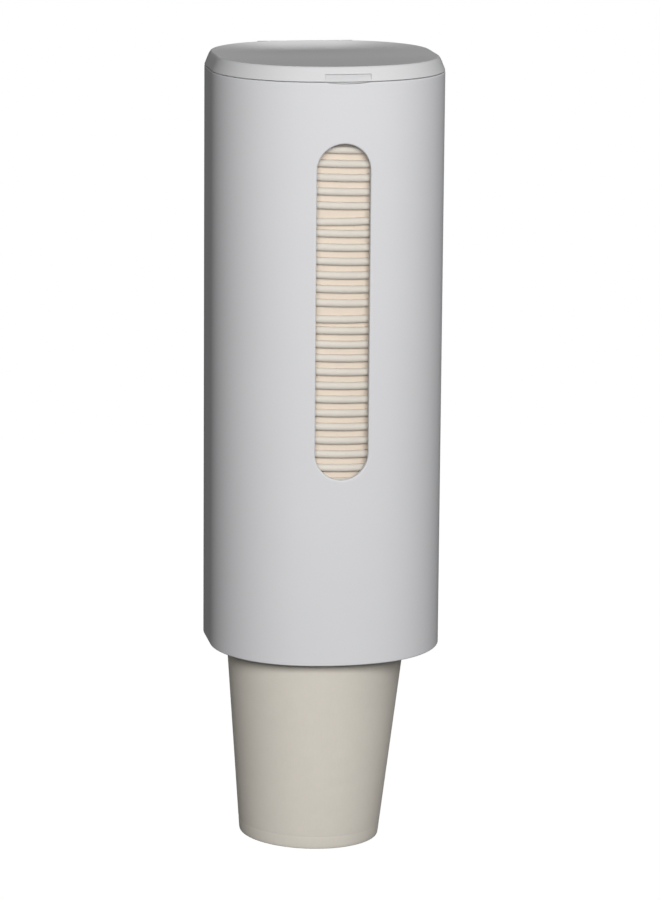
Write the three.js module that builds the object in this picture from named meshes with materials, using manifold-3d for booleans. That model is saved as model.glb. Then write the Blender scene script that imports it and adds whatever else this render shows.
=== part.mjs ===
// A wall-mounted paper-cup dispenser: a D-shaped housing hangs on a wall bracket, holds a leaning
// stack of nested cups behind an open sight window, and lets them down through a round mouth, where
// four flexible fingers carry the lowest cup by its rolled rim. A dished lid is hinged at the back.
//
// Millimetres, +Z up, front towards -Y. The origin is the centre of the bracket's wall face.
// Shapes are drawn from the housing's bottom edge up, about the middle of its width; the group at
// the end moves them to the origin.

import * as THREE from "three";
import { mergeVertices } from "three/addons/utils/BufferGeometryUtils.js";
import Module from "manifold-3d";

const wasm = await Module();
wasm.setup();

// Clearances
const fitGap = 0.3; // between pieces that seat on or pass each other
const overrun = 1; // how far a cut runs past the faces it opens
const weldDistance = 1e-4;

// Paper cup, measured from its foot up
const cupHeight = 92.2;
const rimRadius = 38;
const rimRollHeight = 3;
const rimRollWidth = 1.94; // from the body out to the roll's edge
const rollBevel = 0.75; // lead of the roll's edges on the coarse stacked cups
const cupWall = 0.3;
const cupTaper = THREE.MathUtils.degToRad(5.5);
const footRecess = 4.6; // depth of the hollow under the base disc
const footWall = 1; // folded paper round that hollow
const baseDisc = 0.42;
const stackedCups = 36;
const stackedCupSides = 14;
const hangingCupSides = 32;
const hangingRollSteps = 8;

const cupPitch = footRecess + baseDisc + fitGap; // each cup stands on the floor of the one below
const cupSlope = Math.tan(cupTaper);
const bodyHeight = cupHeight - rimRollHeight;
const bodyTopRadius = rimRadius - rimRollWidth;
const footRadius = bodyTopRadius - bodyHeight * cupSlope;

// Housing, a moulded tube of D-shaped section
const housingWall = 2.2;
const mouthClearance = 2.4; // round the rims, so that a cup passes the mouth when it hangs to one side
const ringSideWeb = 2.1; // retainer ring beside the mouth
const frontArcShare = 1.37778; // of the housing's half width
const frontCornerShare = 0.86667;
const backCornerShare = 0.8;
const backExtra = 3; // how much deeper the back is than the front
const stackHeadroom = 19.6; // from the top cup's rim to the housing's top edge
const hangingRimTop = 13.9; // the hanging cup's rim above the housing's bottom edge
const restForwardShare = 0.2; // of the mouth's play, how far forward of its middle the cups rest
const topPlayShare = 0.75; // of the play between a rim and the side wall, at the top

const mouthRadius = rimRadius + mouthClearance;
const halfWidth = mouthRadius + ringSideWeb + fitGap + housingWall;
const frontArcRadius = halfWidth * frontArcShare;
const frontCornerRadius = halfWidth * frontCornerShare;
const backCornerRadius = halfWidth * backCornerShare;
const backFace = halfWidth + backExtra;
const housingHeight = hangingRimTop + stackedCups * cupPitch + stackHeadroom;
const innerBack = backFace - housingWall;

// Facets of the section's arcs, over one half
const frontArcSteps = 4;
const frontCornerSteps = 8;
const backCornerSteps = 7;

// Sight window, an open slot with round ends
const windowHalfWidth = 10.3;
const windowBottom = 73;
const windowTopMargin = 23.2;
const windowEndSteps = 10;

// Lid
const lidRise = 5.6; // crest above the lid's lower edge
const crestInset = 3;
const flankLean = 2.1; // inset that the straight flank would reach at the crest's level
const flankStraightShare = 0.8; // how far up the flank keeps to that straight line
const dishDepth = 2.4;
const dishBackEase = 9; // power of the dish's fall behind, which starts steep
const dishFrontEase = 2; // and in front, where it is a gentle parabola
const dishShares = [0.12, 0.28, 0.46, 0.64, 0.8, 0.92]; // of its depth, for its rings
const lidPlate = 2;
const flangeDepth = 3;
const flangeWall = 1.4;
const flangeGap = 0.4; // between the flange and the housing's inner wall
const flankSteps = 6;

// Thumb scoop in the front of the lid, and under it a notch in the housing's top edge
const thumbWidth = 17.8;
const thumbOffset = 1.4; // to the right of the middle
const scoopHeight = 2.7;
const scoopFootInset = 0.15; // of the scoop's face at the lid's lower edge
const scoopHeadInset = 1.9; // of the scoop's face at its top
const notchDepth = 0.6;
const notchSteps = 12;

// Hinge at the back of the lid
const pinRadius = 1;
const pinClearance = 0.25;
const knuckleRadius = 2.2;
const hingeBehind = 2.7; // pin behind the housing's back face
const hingeAbove = 2.9; // pin above the housing's top edge
const hingeSpan = 38;
const lidKnuckleLength = 6;
const lidKnuckleOffset = 11; // middle of each lid knuckle from the middle of the hinge
const knuckleGap = 0.4;
const hingeWebDrop = 7; // the housing's knuckle webs below its top edge
const knuckleSides = 16;

// Retainer ring, screwed up under two bosses and snapped between two beads at the front
const ringBottom = 2.5;
const ringThickness = 3;
const mouthCentreY = -0.6;
const mouthSteps = 48;
const beadHeight = 1.2;
const beadProud = 1;
const beadHalfLength = 13;
const bossRadius = 3;
const bossHeight = 12;
const bossRib = 2;
const ringTop = ringBottom + ringThickness;

// Ring screws
const screwShankRadius = 1.4;
const screwHeadRadius = 2.8;
const screwHeadHeight = 1.8;
const screwLength = 11;
const screwPoint = 1.6;
const screwSides = 16;
const crossLength = 3;
const crossWidth = 0.7;
const crossDepth = 0.9;

// Fingers
const fingerThickness = 0.6;
const fingerWidth = 10;
const fingerFoot = 0.8;
const fingerShoulder = 0.8; // rise and run of the bend above the ring
const fingerUnderRim = 1.4; // how far a tip reaches in under the roll
const fingerCount = 4;

// Wall bracket
const standOff = 6.5; // housing's back face from the wall
const bracketWidth = 40;
const bracketHeight = 130;
const bracketCentre = 120; // above the housing's bottom edge
const bracketPlate = 3;
const bracketRim = 2.4;
const bracketCorner = 6;
const bracketCornerSteps = 6;
const hookSpacing = 64;
const hookWidth = 22;
const hookNeck = 5;
const hookLip = 8;
const hookLipThickness = 2.2;
const hookLead = 1.2;
const hookSideGap = 0.5;
const liftTravel = 10; // how far the housing lifts to come off the hooks
const wallScrewSpacing = 100;
const wallScrewRadius = 2.2;
const countersinkRadius = 4.2;
const countersinkDepth = 2;

// Materials
const smoothPlastic = new THREE.MeshStandardMaterial({ color: 0xd6d6d8, roughness: 0.42, metalness: 0 });
const lidPlastic = new THREE.MeshStandardMaterial({ color: 0xdadadb, roughness: 0.38, metalness: 0 });
const innerPlastic = new THREE.MeshStandardMaterial({ color: 0xc9cacc, roughness: 0.55, metalness: 0 });
const fingerPlastic = new THREE.MeshStandardMaterial({ color: 0xeceae4, roughness: 0.5, metalness: 0 });
const cupPaper = new THREE.MeshStandardMaterial({ color: 0xe6ddcc, roughness: 0.75, metalness: 0 });
const zincSteel = new THREE.MeshStandardMaterial({ color: 0xb8bbbe, roughness: 0.35, metalness: 1 });

// A closed geometry as a solid that can be cut and joined
function toSolid(geometry) {
  const bare = geometry.index ? geometry.toNonIndexed() : geometry.clone();
  bare.deleteAttribute("normal");
  bare.deleteAttribute("uv");
  const merged = mergeVertices(bare, weldDistance);
  return new wasm.Manifold(new wasm.Mesh({
    numProp: 3,
    vertProperties: merged.attributes.position.array,
    triVerts: new Uint32Array(merged.index.array),
  }));
}

function toGeometry(solid) {
  const mesh = solid.getMesh();
  const geometry = new THREE.BufferGeometry();
  geometry.setAttribute("position", new THREE.BufferAttribute(mesh.vertProperties.slice(), 3));
  geometry.setIndex(new THREE.BufferAttribute(mesh.triVerts.slice(), 1));
  geometry.computeVertexNormals();
  return geometry;
}

function join(solids) {
  return solids.reduce((whole, solid) => whole.add(solid));
}

function cut(solid, tools) {
  return tools.reduce((left, tool) => left.subtract(tool), solid);
}

// A block between two corners
function block(low, high) {
  const size = high.map((value, axis) => value - low[axis]);
  const middle = high.map((value, axis) => (value + low[axis]) / 2);
  return toSolid(new THREE.BoxGeometry(...size).translate(...middle));
}

// A round bar along X or Z, from its middle
function barAlongX(radius, length, [x, y, z], sides) {
  const bar = new THREE.CylinderGeometry(radius, radius, length, sides);
  return toSolid(bar.rotateZ(Math.PI / 2).translate(x, y, z));
}

function barAlongZ(radius, low, high, [x, y], sides) {
  const bar = new THREE.CylinderGeometry(radius, radius, high - low, sides);
  return toSolid(bar.rotateX(Math.PI / 2).translate(x, y, (low + high) / 2));
}

// A shape drawn in (y, z) and extruded along X, or drawn in (x, z) and extruded along Y
function extrudeAlongX(shape, low, high, steps) {
  const solid = new THREE.ExtrudeGeometry(shape, {
    depth: high - low, bevelEnabled: false, curveSegments: steps,
  });
  const turn = new THREE.Matrix4().makeBasis(
    new THREE.Vector3(0, 1, 0), new THREE.Vector3(0, 0, 1), new THREE.Vector3(1, 0, 0));
  return toSolid(solid.applyMatrix4(turn).translate(low, 0, 0));
}

function extrudeAlongY(shape, low, high, steps) {
  const solid = new THREE.ExtrudeGeometry(shape, {
    depth: high - low, bevelEnabled: false, curveSegments: steps,
  });
  return toSolid(solid.rotateX(Math.PI / 2).translate(0, high, 0));
}

// The centres and angles of the section's arcs: a wide front arc, tight front corners that run
// into the straight sides, and back corners that run into the flat back
function sectionArcs() {
  const frontCentreY = frontArcRadius - halfWidth;
  const cornerX = halfWidth - frontCornerRadius;
  const cornerDrop = Math.sqrt((frontArcRadius - frontCornerRadius) ** 2 - cornerX ** 2);
  return {
    frontCentreY,
    cornerX,
    cornerY: frontCentreY - cornerDrop,
    meeting: Math.atan2(cornerX, cornerDrop),
    backX: halfWidth - backCornerRadius,
    backY: backFace - backCornerRadius,
  };
}

// The back of the section at a distance from its middle
function backSurfaceAt(x) {
  const arcs = sectionArcs();
  const past = Math.max(x - arcs.backX, 0);
  return arcs.backY + Math.sqrt(backCornerRadius ** 2 - past ** 2);
}

// The section's outline, moved in by an inset, anticlockwise from the middle of the front
function sectionOutline(inset) {
  const arcs = sectionArcs();
  const right = [];
  for (let i = 0; i <= frontArcSteps; i++) {
    const angle = (arcs.meeting * i) / frontArcSteps;
    const radius = frontArcRadius - inset;
    right.push([radius * Math.sin(angle), arcs.frontCentreY - radius * Math.cos(angle)]);
  }
  for (let i = 1; i <= frontCornerSteps; i++) {
    const angle = arcs.meeting + ((Math.PI / 2 - arcs.meeting) * i) / frontCornerSteps;
    const radius = frontCornerRadius - inset;
    right.push([arcs.cornerX + radius * Math.sin(angle), arcs.cornerY - radius * Math.cos(angle)]);
  }
  for (let i = 0; i <= backCornerSteps; i++) {
    const angle = (Math.PI / 2) * (i / backCornerSteps);
    const radius = backCornerRadius - inset;
    right.push([arcs.backX + radius * Math.cos(angle), arcs.backY + radius * Math.sin(angle)]);
  }
  const left = right.slice(1).reverse().map(([x, y]) => [-x, y]);
  return [...right, ...left];
}

function sectionShape(inset) {
  return new THREE.Shape(sectionOutline(inset).map(([x, y]) => new THREE.Vector2(x, y)));
}

// A solid through rings of the section, each given as [inset, z] and, where it lies further back,
// how far, closed by a fan at both ends
function sectionLoft(levels) {
  const rings = levels.map(([inset, z, back = 0]) =>
    sectionOutline(inset).map(([x, y]) => [x, y + back, z]));
  const count = rings[0].length;
  const positions = rings.flat(2);
  const first = rings.length * count;
  positions.push(0, 0, levels[0][1], 0, 0, levels[levels.length - 1][1]);
  const faces = [];
  for (let ring = 0; ring < rings.length - 1; ring++) {
    for (let i = 0; i < count; i++) {
      const a = ring * count + i;
      const b = ring * count + ((i + 1) % count);
      faces.push(a, b, b + count, a, b + count, a + count);
    }
  }
  const top = (rings.length - 1) * count;
  for (let i = 0; i < count; i++) {
    const next = (i + 1) % count;
    faces.push(first, next, i, first + 1, top + i, top + next);
  }
  const geometry = new THREE.BufferGeometry();
  geometry.setAttribute("position", new THREE.Float32BufferAttribute(positions, 3));
  geometry.setIndex(faces);
  return toSolid(geometry);
}

function sectionPrism(inset, low, high) {
  return sectionLoft([[inset, low], [inset, high]]);
}

function windowShape() {
  const low = windowBottom + windowHalfWidth;
  const high = housingHeight - windowTopMargin - windowHalfWidth;
  const shape = new THREE.Shape();
  shape.absarc(0, high, windowHalfWidth, 0, Math.PI);
  shape.absarc(0, low, windowHalfWidth, Math.PI, 2 * Math.PI);
  return shape;
}

// Heights of the two bracket hooks, at the top of each neck
function hookLevels() {
  const middle = bracketCentre + hookNeck / 2;
  return [middle - hookSpacing / 2, middle + hookSpacing / 2];
}

// Slots in the housing's back: a lifted housing clears the whole hook
function hookSlots() {
  const half = hookWidth / 2 + hookSideGap;
  return hookLevels().map((level) => block(
    [-half, innerBack - overrun, level - hookNeck - liftTravel - 2 * fitGap],
    [half, backFace + overrun, level + fitGap]));
}

// Distance from the mouth's centre to an arc of the section, along one of the mouth's diagonals.
// The arc's centre lies x to the side of the mouth's centre and y before or behind it.
function diagonalReach(x, y, radius) {
  const along = (x + y) * Math.SQRT1_2;
  const across = (x - y) * Math.SQRT1_2;
  return along + Math.sqrt(radius ** 2 - across ** 2);
}

// Radius of a finger's leg: the middle of the ring's band on a front diagonal, where it is narrowest
function fingerLegRadius() {
  const arcs = sectionArcs();
  const ringCorner = frontCornerRadius - housingWall - fitGap;
  const outer = diagonalReach(arcs.cornerX, mouthCentreY - arcs.cornerY, ringCorner);
  return (outer + mouthRadius) / 2;
}

// Distance of the ring's screws from the mouth's centre: their bosses clear the legs of the fingers
function screwReach() {
  return fingerLegRadius() + fingerThickness / 2 + fitGap + bossRadius;
}

function screwPlaces() {
  const reach = screwReach() * Math.SQRT1_2;
  return [-1, 1].map((side) => [side * reach, mouthCentreY + reach]);
}

// A boss above the ring, with a rib out to the corner's wall
function screwBoss([x, y]) {
  const arcs = sectionArcs();
  const midWall = backCornerRadius - housingWall / 2;
  const low = ringTop + fitGap;
  const high = low + bossHeight;
  const boss = barAlongZ(bossRadius, low, high, [x, y], screwSides);
  const ribLength = diagonalReach(arcs.backX, arcs.backY - mouthCentreY, midWall) - screwReach();
  const rib = new THREE.BoxGeometry(ribLength, bossRib, bossHeight);
  rib.translate(ribLength / 2, 0, (low + high) / 2);
  rib.rotateZ(x > 0 ? Math.PI / 4 : (3 * Math.PI) / 4);
  return join([boss, toSolid(rib.translate(x, y, 0))]);
}

function screwBores() {
  const depth = ringTop + fitGap + bossHeight - housingWall;
  return screwPlaces().map((place) => barAlongZ(
    screwShankRadius + fitGap, ringTop, depth, place, screwSides));
}

// A bead along the inside of the front wall
function frontBead(low) {
  const band = sectionPrism(housingWall / 2, low, low + beadHeight)
    .subtract(sectionPrism(housingWall + beadProud, low - overrun, low + beadHeight + overrun));
  const reach = [beadHalfLength, 0, low + beadHeight + overrun];
  return band.intersect(block([-beadHalfLength, -halfWidth - overrun, low - overrun], reach));
}

function hingeCentre() {
  return [0, backFace + hingeBehind, housingHeight + hingeAbove];
}

// Lengths of the hinge that the housing's knuckles take: two outer ones and a middle one
function housingKnuckleSpans() {
  const half = hingeSpan / 2;
  const near = lidKnuckleOffset - lidKnuckleLength / 2 - knuckleGap;
  const far = lidKnuckleOffset + lidKnuckleLength / 2 + knuckleGap;
  return [[-half, -far], [-near, near], [far, half]];
}

// A knuckle on the housing: a barrel behind the back, on a web that runs down it and ends in the
// middle of the wall
function housingKnuckle([low, high]) {
  const [, y, z] = hingeCentre();
  const barrel = barAlongX(knuckleRadius, high - low, [(low + high) / 2, y, z], knuckleSides);
  const inside = backSurfaceAt(hingeSpan / 2) - housingWall;
  const webLow = housingHeight - hingeWebDrop;
  const shelf = housingHeight - hingeAbove / 2;
  const web = new THREE.Shape([
    new THREE.Vector2(inside, webLow),
    new THREE.Vector2(backFace, webLow),
    new THREE.Vector2(y + knuckleRadius, shelf),
    new THREE.Vector2(y + knuckleRadius, z),
    new THREE.Vector2(y - knuckleRadius, z),
    new THREE.Vector2(y - knuckleRadius, shelf),
    new THREE.Vector2(inside, shelf),
  ]);
  const room = sectionPrism(housingWall / 2, webLow - overrun, housingHeight);
  return join([barrel, extrudeAlongX(web, low, high, 1).subtract(room)]);
}

function pinBore() {
  return barAlongX(pinRadius + pinClearance, hingeSpan + 2 * overrun, hingeCentre(), knuckleSides);
}

function housingGeometry() {
  const shell = sectionPrism(0, 0, housingHeight)
    .subtract(sectionPrism(housingWall, -overrun, housingHeight + overrun));
  const body = join([
    shell,
    ...screwPlaces().map(screwBoss),
    frontBead(ringTop + fitGap),
    frontBead(ringBottom - fitGap - beadHeight),
    ...housingKnuckleSpans().map(housingKnuckle),
  ]);
  const sight = extrudeAlongY(windowShape(), -halfWidth - overrun, 0, windowEndSteps);
  const openings = [sight, thumbNotch(), pinBore(), ...hookSlots(), ...screwBores()];
  return toGeometry(cut(body, openings));
}

// Rings of the dish below the crest as [inset, z, shift back]. At each depth the ring lies closer to
// the crest behind than in front, so the dish falls steeply behind and gently in front
function dishRings(crest) {
  const reach = halfWidth - crestInset;
  return dishShares.map((share) => {
    const behind = reach * (1 - (1 - share) ** (1 / dishBackEase));
    const before = reach * (1 - (1 - share) ** (1 / dishFrontEase));
    return [crestInset + (behind + before) / 2, crest - dishDepth * share, (before - behind) / 2];
  });
}

// The lid's outer skin: a leaning flank that rounds over into the crest, then the dish
function lidSkin() {
  const low = housingHeight + fitGap;
  const corner = new THREE.Vector2(flankLean, lidRise);
  const flank = new THREE.CubicBezierCurve(
    new THREE.Vector2(0, 0),
    corner.clone().multiplyScalar(flankStraightShare),
    corner,
    new THREE.Vector2(crestInset, lidRise));
  const rings = flank.getPoints(flankSteps).map((point) => [point.x, low + point.y]);
  return [...rings, ...dishRings(low + lidRise)];
}

// What the scoop takes from the lid: its face leans back from the lower edge to a ledge at its top
function thumbScoop() {
  const low = housingHeight + fitGap;
  const half = thumbWidth / 2;
  const room = block(
    [thumbOffset - half, -halfWidth - overrun, low - overrun],
    [thumbOffset + half, 0, low + scoopHeight]);
  const lean = (scoopHeadInset - scoopFootInset) / scoopHeight;
  const face = sectionLoft([
    [scoopFootInset - lean * overrun, low - overrun],
    [scoopHeadInset + lean * overrun, low + scoopHeight + overrun],
  ]);
  return room.subtract(face);
}

// A notch that bows down from the housing's top edge, for a fingertip under the lid
function thumbNotch() {
  const half = thumbWidth / 2;
  const shape = new THREE.Shape();
  shape.moveTo(thumbOffset - half, housingHeight + overrun);
  for (let i = 0; i <= notchSteps; i++) {
    const share = (2 * i) / notchSteps - 1;
    shape.lineTo(thumbOffset + half * share, housingHeight - notchDepth * (1 - share * share));
  }
  shape.lineTo(thumbOffset + half, housingHeight + overrun);
  return extrudeAlongY(shape, -halfWidth - overrun, 0, 1);
}

function lidKnuckle(side) {
  const [, y, z] = hingeCentre();
  const middle = side * lidKnuckleOffset;
  const half = lidKnuckleLength / 2;
  const barrel = barAlongX(knuckleRadius, lidKnuckleLength, [middle, y, z], knuckleSides);
  const low = housingHeight + fitGap;
  const arm = block(
    [middle - half, backFace - crestInset, low],
    [middle + half, y, low + hingeAbove + knuckleRadius / 2]);
  return join([barrel, arm]);
}

function lidGeometry() {
  const seat = housingHeight + fitGap;
  const flangeInset = housingWall + flangeGap;
  const hollowTop = seat + lidRise - dishDepth - lidPlate;
  const body = join([
    sectionLoft(lidSkin()),
    sectionPrism(flangeInset, housingHeight - flangeDepth, seat + fitGap),
  ]);
  const hollow = sectionPrism(
    flangeInset + flangeWall, housingHeight - flangeDepth - overrun, hollowTop);
  const dressed = cut(body, [hollow, thumbScoop()]);
  const whole = join([dressed, lidKnuckle(-1), lidKnuckle(1)]);
  return toGeometry(whole.subtract(pinBore()));
}

function hingePinGeometry() {
  return toGeometry(barAlongX(pinRadius, hingeSpan, hingeCentre(), knuckleSides));
}

// Angles of the fingers round the mouth, on its diagonals
function fingerAngles() {
  const quarter = (2 * Math.PI) / fingerCount;
  return Array.from({ length: fingerCount }, (_, i) => quarter * (i + 1 / 2));
}

// The four corners of a finger's slot in the ring
function fingerSlot(angle) {
  const leg = fingerLegRadius();
  const deep = fingerThickness / 2 + fitGap;
  const wide = fingerWidth / 2 + fitGap;
  const corners = [[leg - deep, -wide], [leg + deep, -wide], [leg + deep, wide], [leg - deep, wide]];
  return corners.map(([out, along]) => new THREE.Vector2(
    out * Math.cos(angle) - along * Math.sin(angle),
    mouthCentreY + out * Math.sin(angle) + along * Math.cos(angle)));
}

function roundHole([x, y], radius) {
  return new THREE.Path().absarc(x, y, radius, 0, 2 * Math.PI, true);
}

function ringGeometry() {
  const shape = sectionShape(housingWall + fitGap);
  shape.holes.push(roundHole([0, mouthCentreY], mouthRadius));
  screwPlaces().forEach((place) => shape.holes.push(roundHole(place, screwShankRadius + fitGap)));
  fingerAngles().forEach((angle) => shape.holes.push(new THREE.Path(fingerSlot(angle))));
  const ring = new THREE.ExtrudeGeometry(shape, {
    depth: ringThickness, bevelEnabled: false, curveSegments: mouthSteps / 2,
  });
  return ring.translate(0, 0, ringBottom);
}

// A screw with its head down and a cross recess in the head, from its head's face at z = 0
function ringScrewGeometry() {
  const tip = screwHeadHeight + screwLength;
  const profile = [
    [0, 0],
    [screwHeadRadius - screwHeadHeight / 2, 0],
    [screwHeadRadius, screwHeadHeight / 2],
    [screwHeadRadius, screwHeadHeight],
    [screwShankRadius, screwHeadHeight],
    [screwShankRadius, tip - screwPoint],
    [0, tip],
  ].map(([r, z]) => new THREE.Vector2(r, z));
  const body = toSolid(new THREE.LatheGeometry(profile, screwSides).rotateX(Math.PI / 2));
  const long = crossLength / 2;
  const narrow = crossWidth / 2;
  return toGeometry(cut(body, [
    block([-long, -narrow, -overrun], [long, narrow, crossDepth]),
    block([-narrow, -long, -overrun], [narrow, long, crossDepth]),
  ]));
}

// The cups' axis: the rims lie against the left of the mouth and, at the top, near the right wall
function stackAxis() {
  const forward = (mouthClearance - fitGap) * restForwardShare;
  const sideways = Math.sqrt((mouthClearance - fitGap) ** 2 - forward ** 2);
  const topLevel = housingHeight - stackHeadroom;
  const topSideways = (halfWidth - housingWall - rimRadius) * topPlayShare;
  const low = new THREE.Vector3(-sideways, mouthCentreY - forward, ringTop);
  const lean = Math.atan2(topSideways + sideways, topLevel - ringTop);
  return { low, lean };
}

// Height of the underside of the hanging cup's roll, over a point of the mouth
function rollUnderside(x) {
  const { low, lean } = stackAxis();
  const axisTop = hangingRimTop - rimRollHeight * Math.cos(lean);
  const axisX = low.x + (axisTop - low.z) * Math.tan(lean);
  return axisTop - (x - axisX) * Math.tan(lean);
}

// A strip of even thickness along a line of points
function stripShape(points, thickness) {
  const sides = [1, -1].map((side) => points.map((point, i) => {
    const before = points[Math.max(i - 1, 0)];
    const after = points[Math.min(i + 1, points.length - 1)];
    const into = point.clone().sub(before).normalize();
    const out = after.clone().sub(point).normalize();
    const along = into.clone().add(out).normalize();
    const normal = new THREE.Vector2(-along.y, along.x);
    const mitre = Math.max(Math.abs(along.dot(i ? into : out)), Math.SQRT1_2);
    return point.clone().addScaledVector(normal, (side * thickness) / 2 / mitre);
  }));
  return new THREE.Shape([...sides[0], ...sides[1].reverse()]);
}

// A finger: a foot under the ring, a leg up through its slot, and a tongue that bends in and up
// to the underside of the roll
function fingerGeometry(angle) {
  const { low } = stackAxis();
  const aside = low.x * Math.cos(angle) + (low.y - mouthCentreY) * Math.sin(angle);
  const tipRadius = rimRadius + aside - fingerUnderRim;
  const tipX = tipRadius * Math.cos(angle);
  const tipTop = rollUnderside(tipX) - (fingerWidth / 2) * Math.sin(stackAxis().lean) - fitGap;
  const leg = fingerLegRadius();
  const foot = ringBottom - fitGap - fingerThickness / 2;
  const bend = ringTop + fitGap;
  const line = [
    [leg + fingerFoot, foot],
    [leg, foot],
    [leg, bend],
    [leg - fingerShoulder, bend + fingerShoulder],
    [tipRadius, tipTop - fingerThickness / 2],
  ].map(([r, z]) => new THREE.Vector2(r, z));
  const strip = new THREE.ExtrudeGeometry(stripShape(line, fingerThickness), {
    depth: fingerWidth, bevelEnabled: false,
  });
  strip.rotateX(Math.PI / 2).translate(0, fingerWidth / 2, 0);
  return strip.rotateZ(angle).translate(0, mouthCentreY, 0);
}

function revolve(profile, sides) {
  const points = profile.map(([r, z]) => new THREE.Vector2(r, z));
  return new THREE.LatheGeometry(points, sides).rotateX(Math.PI / 2);
}

// Inner radius of a cup's body at a height above its foot
function insideRadius(z) {
  return footRadius + z * cupSlope - cupWall;
}

function footProfile() {
  return [
    [0, footRecess],
    [footRadius - footWall, footRecess],
    [footRadius - footWall, 0],
    [footRadius, 0],
  ];
}

function floorProfile() {
  const floor = footRecess + baseDisc;
  return [[insideRadius(floor), floor], [0, floor]];
}

// A stacked cup: its roll is four-sided
function stackedCupGeometry() {
  return revolve([
    ...footProfile(),
    [bodyTopRadius, bodyHeight],
    [rimRadius, bodyHeight + rollBevel],
    [rimRadius, cupHeight - rollBevel],
    [insideRadius(cupHeight), cupHeight],
    ...floorProfile(),
  ], stackedCupSides);
}

// The hanging cup: its roll is round
function hangingCupGeometry() {
  const rollRadius = rimRollHeight / 2;
  const centre = [rimRadius - rollRadius, cupHeight - rollRadius];
  const roll = Array.from({ length: hangingRollSteps + 1 }, (_, i) => {
    const angle = Math.PI * (i / hangingRollSteps - 1 / 2);
    return [centre[0] + rollRadius * Math.cos(angle), centre[1] + rollRadius * Math.sin(angle)];
  });
  return revolve([
    ...footProfile(),
    [bodyTopRadius, bodyHeight],
    ...roll,
    [insideRadius(cupHeight), cupHeight - rollRadius / 2],
    ...floorProfile(),
  ], hangingCupSides);
}

function roundedPlate(width, height, corner) {
  const x = width / 2 - corner;
  const z = height / 2 - corner;
  const shape = new THREE.Shape();
  shape.absarc(x, bracketCentre + z, corner, 0, Math.PI / 2);
  shape.absarc(-x, bracketCentre + z, corner, Math.PI / 2, Math.PI);
  shape.absarc(-x, bracketCentre - z, corner, Math.PI, (3 * Math.PI) / 2);
  shape.absarc(x, bracketCentre - z, corner, (3 * Math.PI) / 2, 2 * Math.PI);
  return shape;
}

// A hook's side view: a neck out of the plate and a lip that stands up behind the housing's back
function hookSolid(level) {
  const plateFace = backFace + standOff - bracketPlate;
  const lipBack = innerBack - fitGap;
  const lipFront = lipBack - hookLipThickness;
  const shape = new THREE.Shape([
    [plateFace + overrun, level - hookNeck],
    [plateFace + overrun, level],
    [lipBack, level],
    [lipBack, level + hookLip - hookLead],
    [lipBack - hookLead, level + hookLip],
    [lipFront, level + hookLip],
    [lipFront, level - hookNeck + hookLead],
    [lipFront + hookLead, level - hookNeck],
  ].map(([y, z]) => new THREE.Vector2(y, z)));
  return extrudeAlongX(shape, -hookWidth / 2, hookWidth / 2, 1);
}

// A countersunk hole through the plate
function wallScrewHole(side) {
  const wall = backFace + standOff;
  const front = wall - bracketPlate;
  const profile = [
    [0, -overrun],
    [countersinkRadius, -overrun],
    [countersinkRadius, 0],
    [wallScrewRadius, countersinkDepth],
    [wallScrewRadius, bracketPlate + overrun],
    [0, bracketPlate + overrun],
  ];
  const hole = revolve(profile, knuckleSides).rotateX(-Math.PI / 2);
  return toSolid(hole.translate(0, front, bracketCentre + (side * wallScrewSpacing) / 2));
}

// A tray whose rim cradles the housing's back, with two hooks and two screw holes
function wallBracketGeometry() {
  const wall = backFace + standOff;
  const front = backSurfaceAt(bracketWidth / 2);
  const low = bracketCentre - bracketHeight / 2 - overrun;
  const high = bracketCentre + bracketHeight / 2 + overrun;
  const tray = extrudeAlongY(
    roundedPlate(bracketWidth, bracketHeight, bracketCorner), front, wall, bracketCornerSteps,
  ).subtract(sectionPrism(-fitGap, low, high));
  const hollow = extrudeAlongY(
    roundedPlate(bracketWidth - 2 * bracketRim, bracketHeight - 2 * bracketRim,
      bracketCorner - bracketRim), front - overrun, wall - bracketPlate, bracketCornerSteps);
  const body = join([tray.subtract(hollow), ...hookLevels().map(hookSolid)]);
  return toGeometry(cut(body, [wallScrewHole(-1), wallScrewHole(1)]));
}

function named(name, geometry, material) {
  const mesh = new THREE.Mesh(geometry, material);
  mesh.name = name;
  return mesh;
}

const dispenser = new THREE.Group();
dispenser.position.set(0, -(backFace + standOff), -bracketCentre);

dispenser.add(
  named("wall_bracket", wallBracketGeometry(), innerPlastic),
  named("housing", housingGeometry(), smoothPlastic),
  named("lid", lidGeometry(), lidPlastic),
  named("hinge_pin", hingePinGeometry(), zincSteel),
  named("retainer_ring", ringGeometry(), innerPlastic),
);

const fingerNames = ["back_right", "back_left", "front_left", "front_right"];
fingerAngles().forEach((angle, i) => {
  dispenser.add(named(`cup_finger_${fingerNames[i]}`, fingerGeometry(angle), fingerPlastic));
});

screwPlaces().forEach(([x, y]) => {
  const screw = named(`ring_screw_${x < 0 ? "left" : "right"}`, ringScrewGeometry(), zincSteel);
  screw.position.set(x, y, ringBottom - fitGap - screwHeadHeight);
  dispenser.add(screw);
});

// The cups share one leaning group, whose z = 0 is the ring's top face on the cups' axis
const { low: axisLow, lean: stackLean } = stackAxis();
const cups = new THREE.Group();
cups.position.copy(axisLow);
cups.rotation.y = stackLean;
dispenser.add(cups);

const hangingFoot = (hangingRimTop - ringTop) / Math.cos(stackLean) - cupHeight;
const hangingCup = named("hanging_cup", hangingCupGeometry(), cupPaper);
hangingCup.position.z = hangingFoot;
cups.add(hangingCup);

const stackedCup = stackedCupGeometry();
for (let i = 1; i <= stackedCups; i++) {
  const cup = named(`stacked_cup_${String(i).padStart(2, "0")}`, stackedCup, cupPaper);
  cup.position.z = hangingFoot + i * cupPitch;
  cups.add(cup);
}

export default dispenser;
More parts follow.
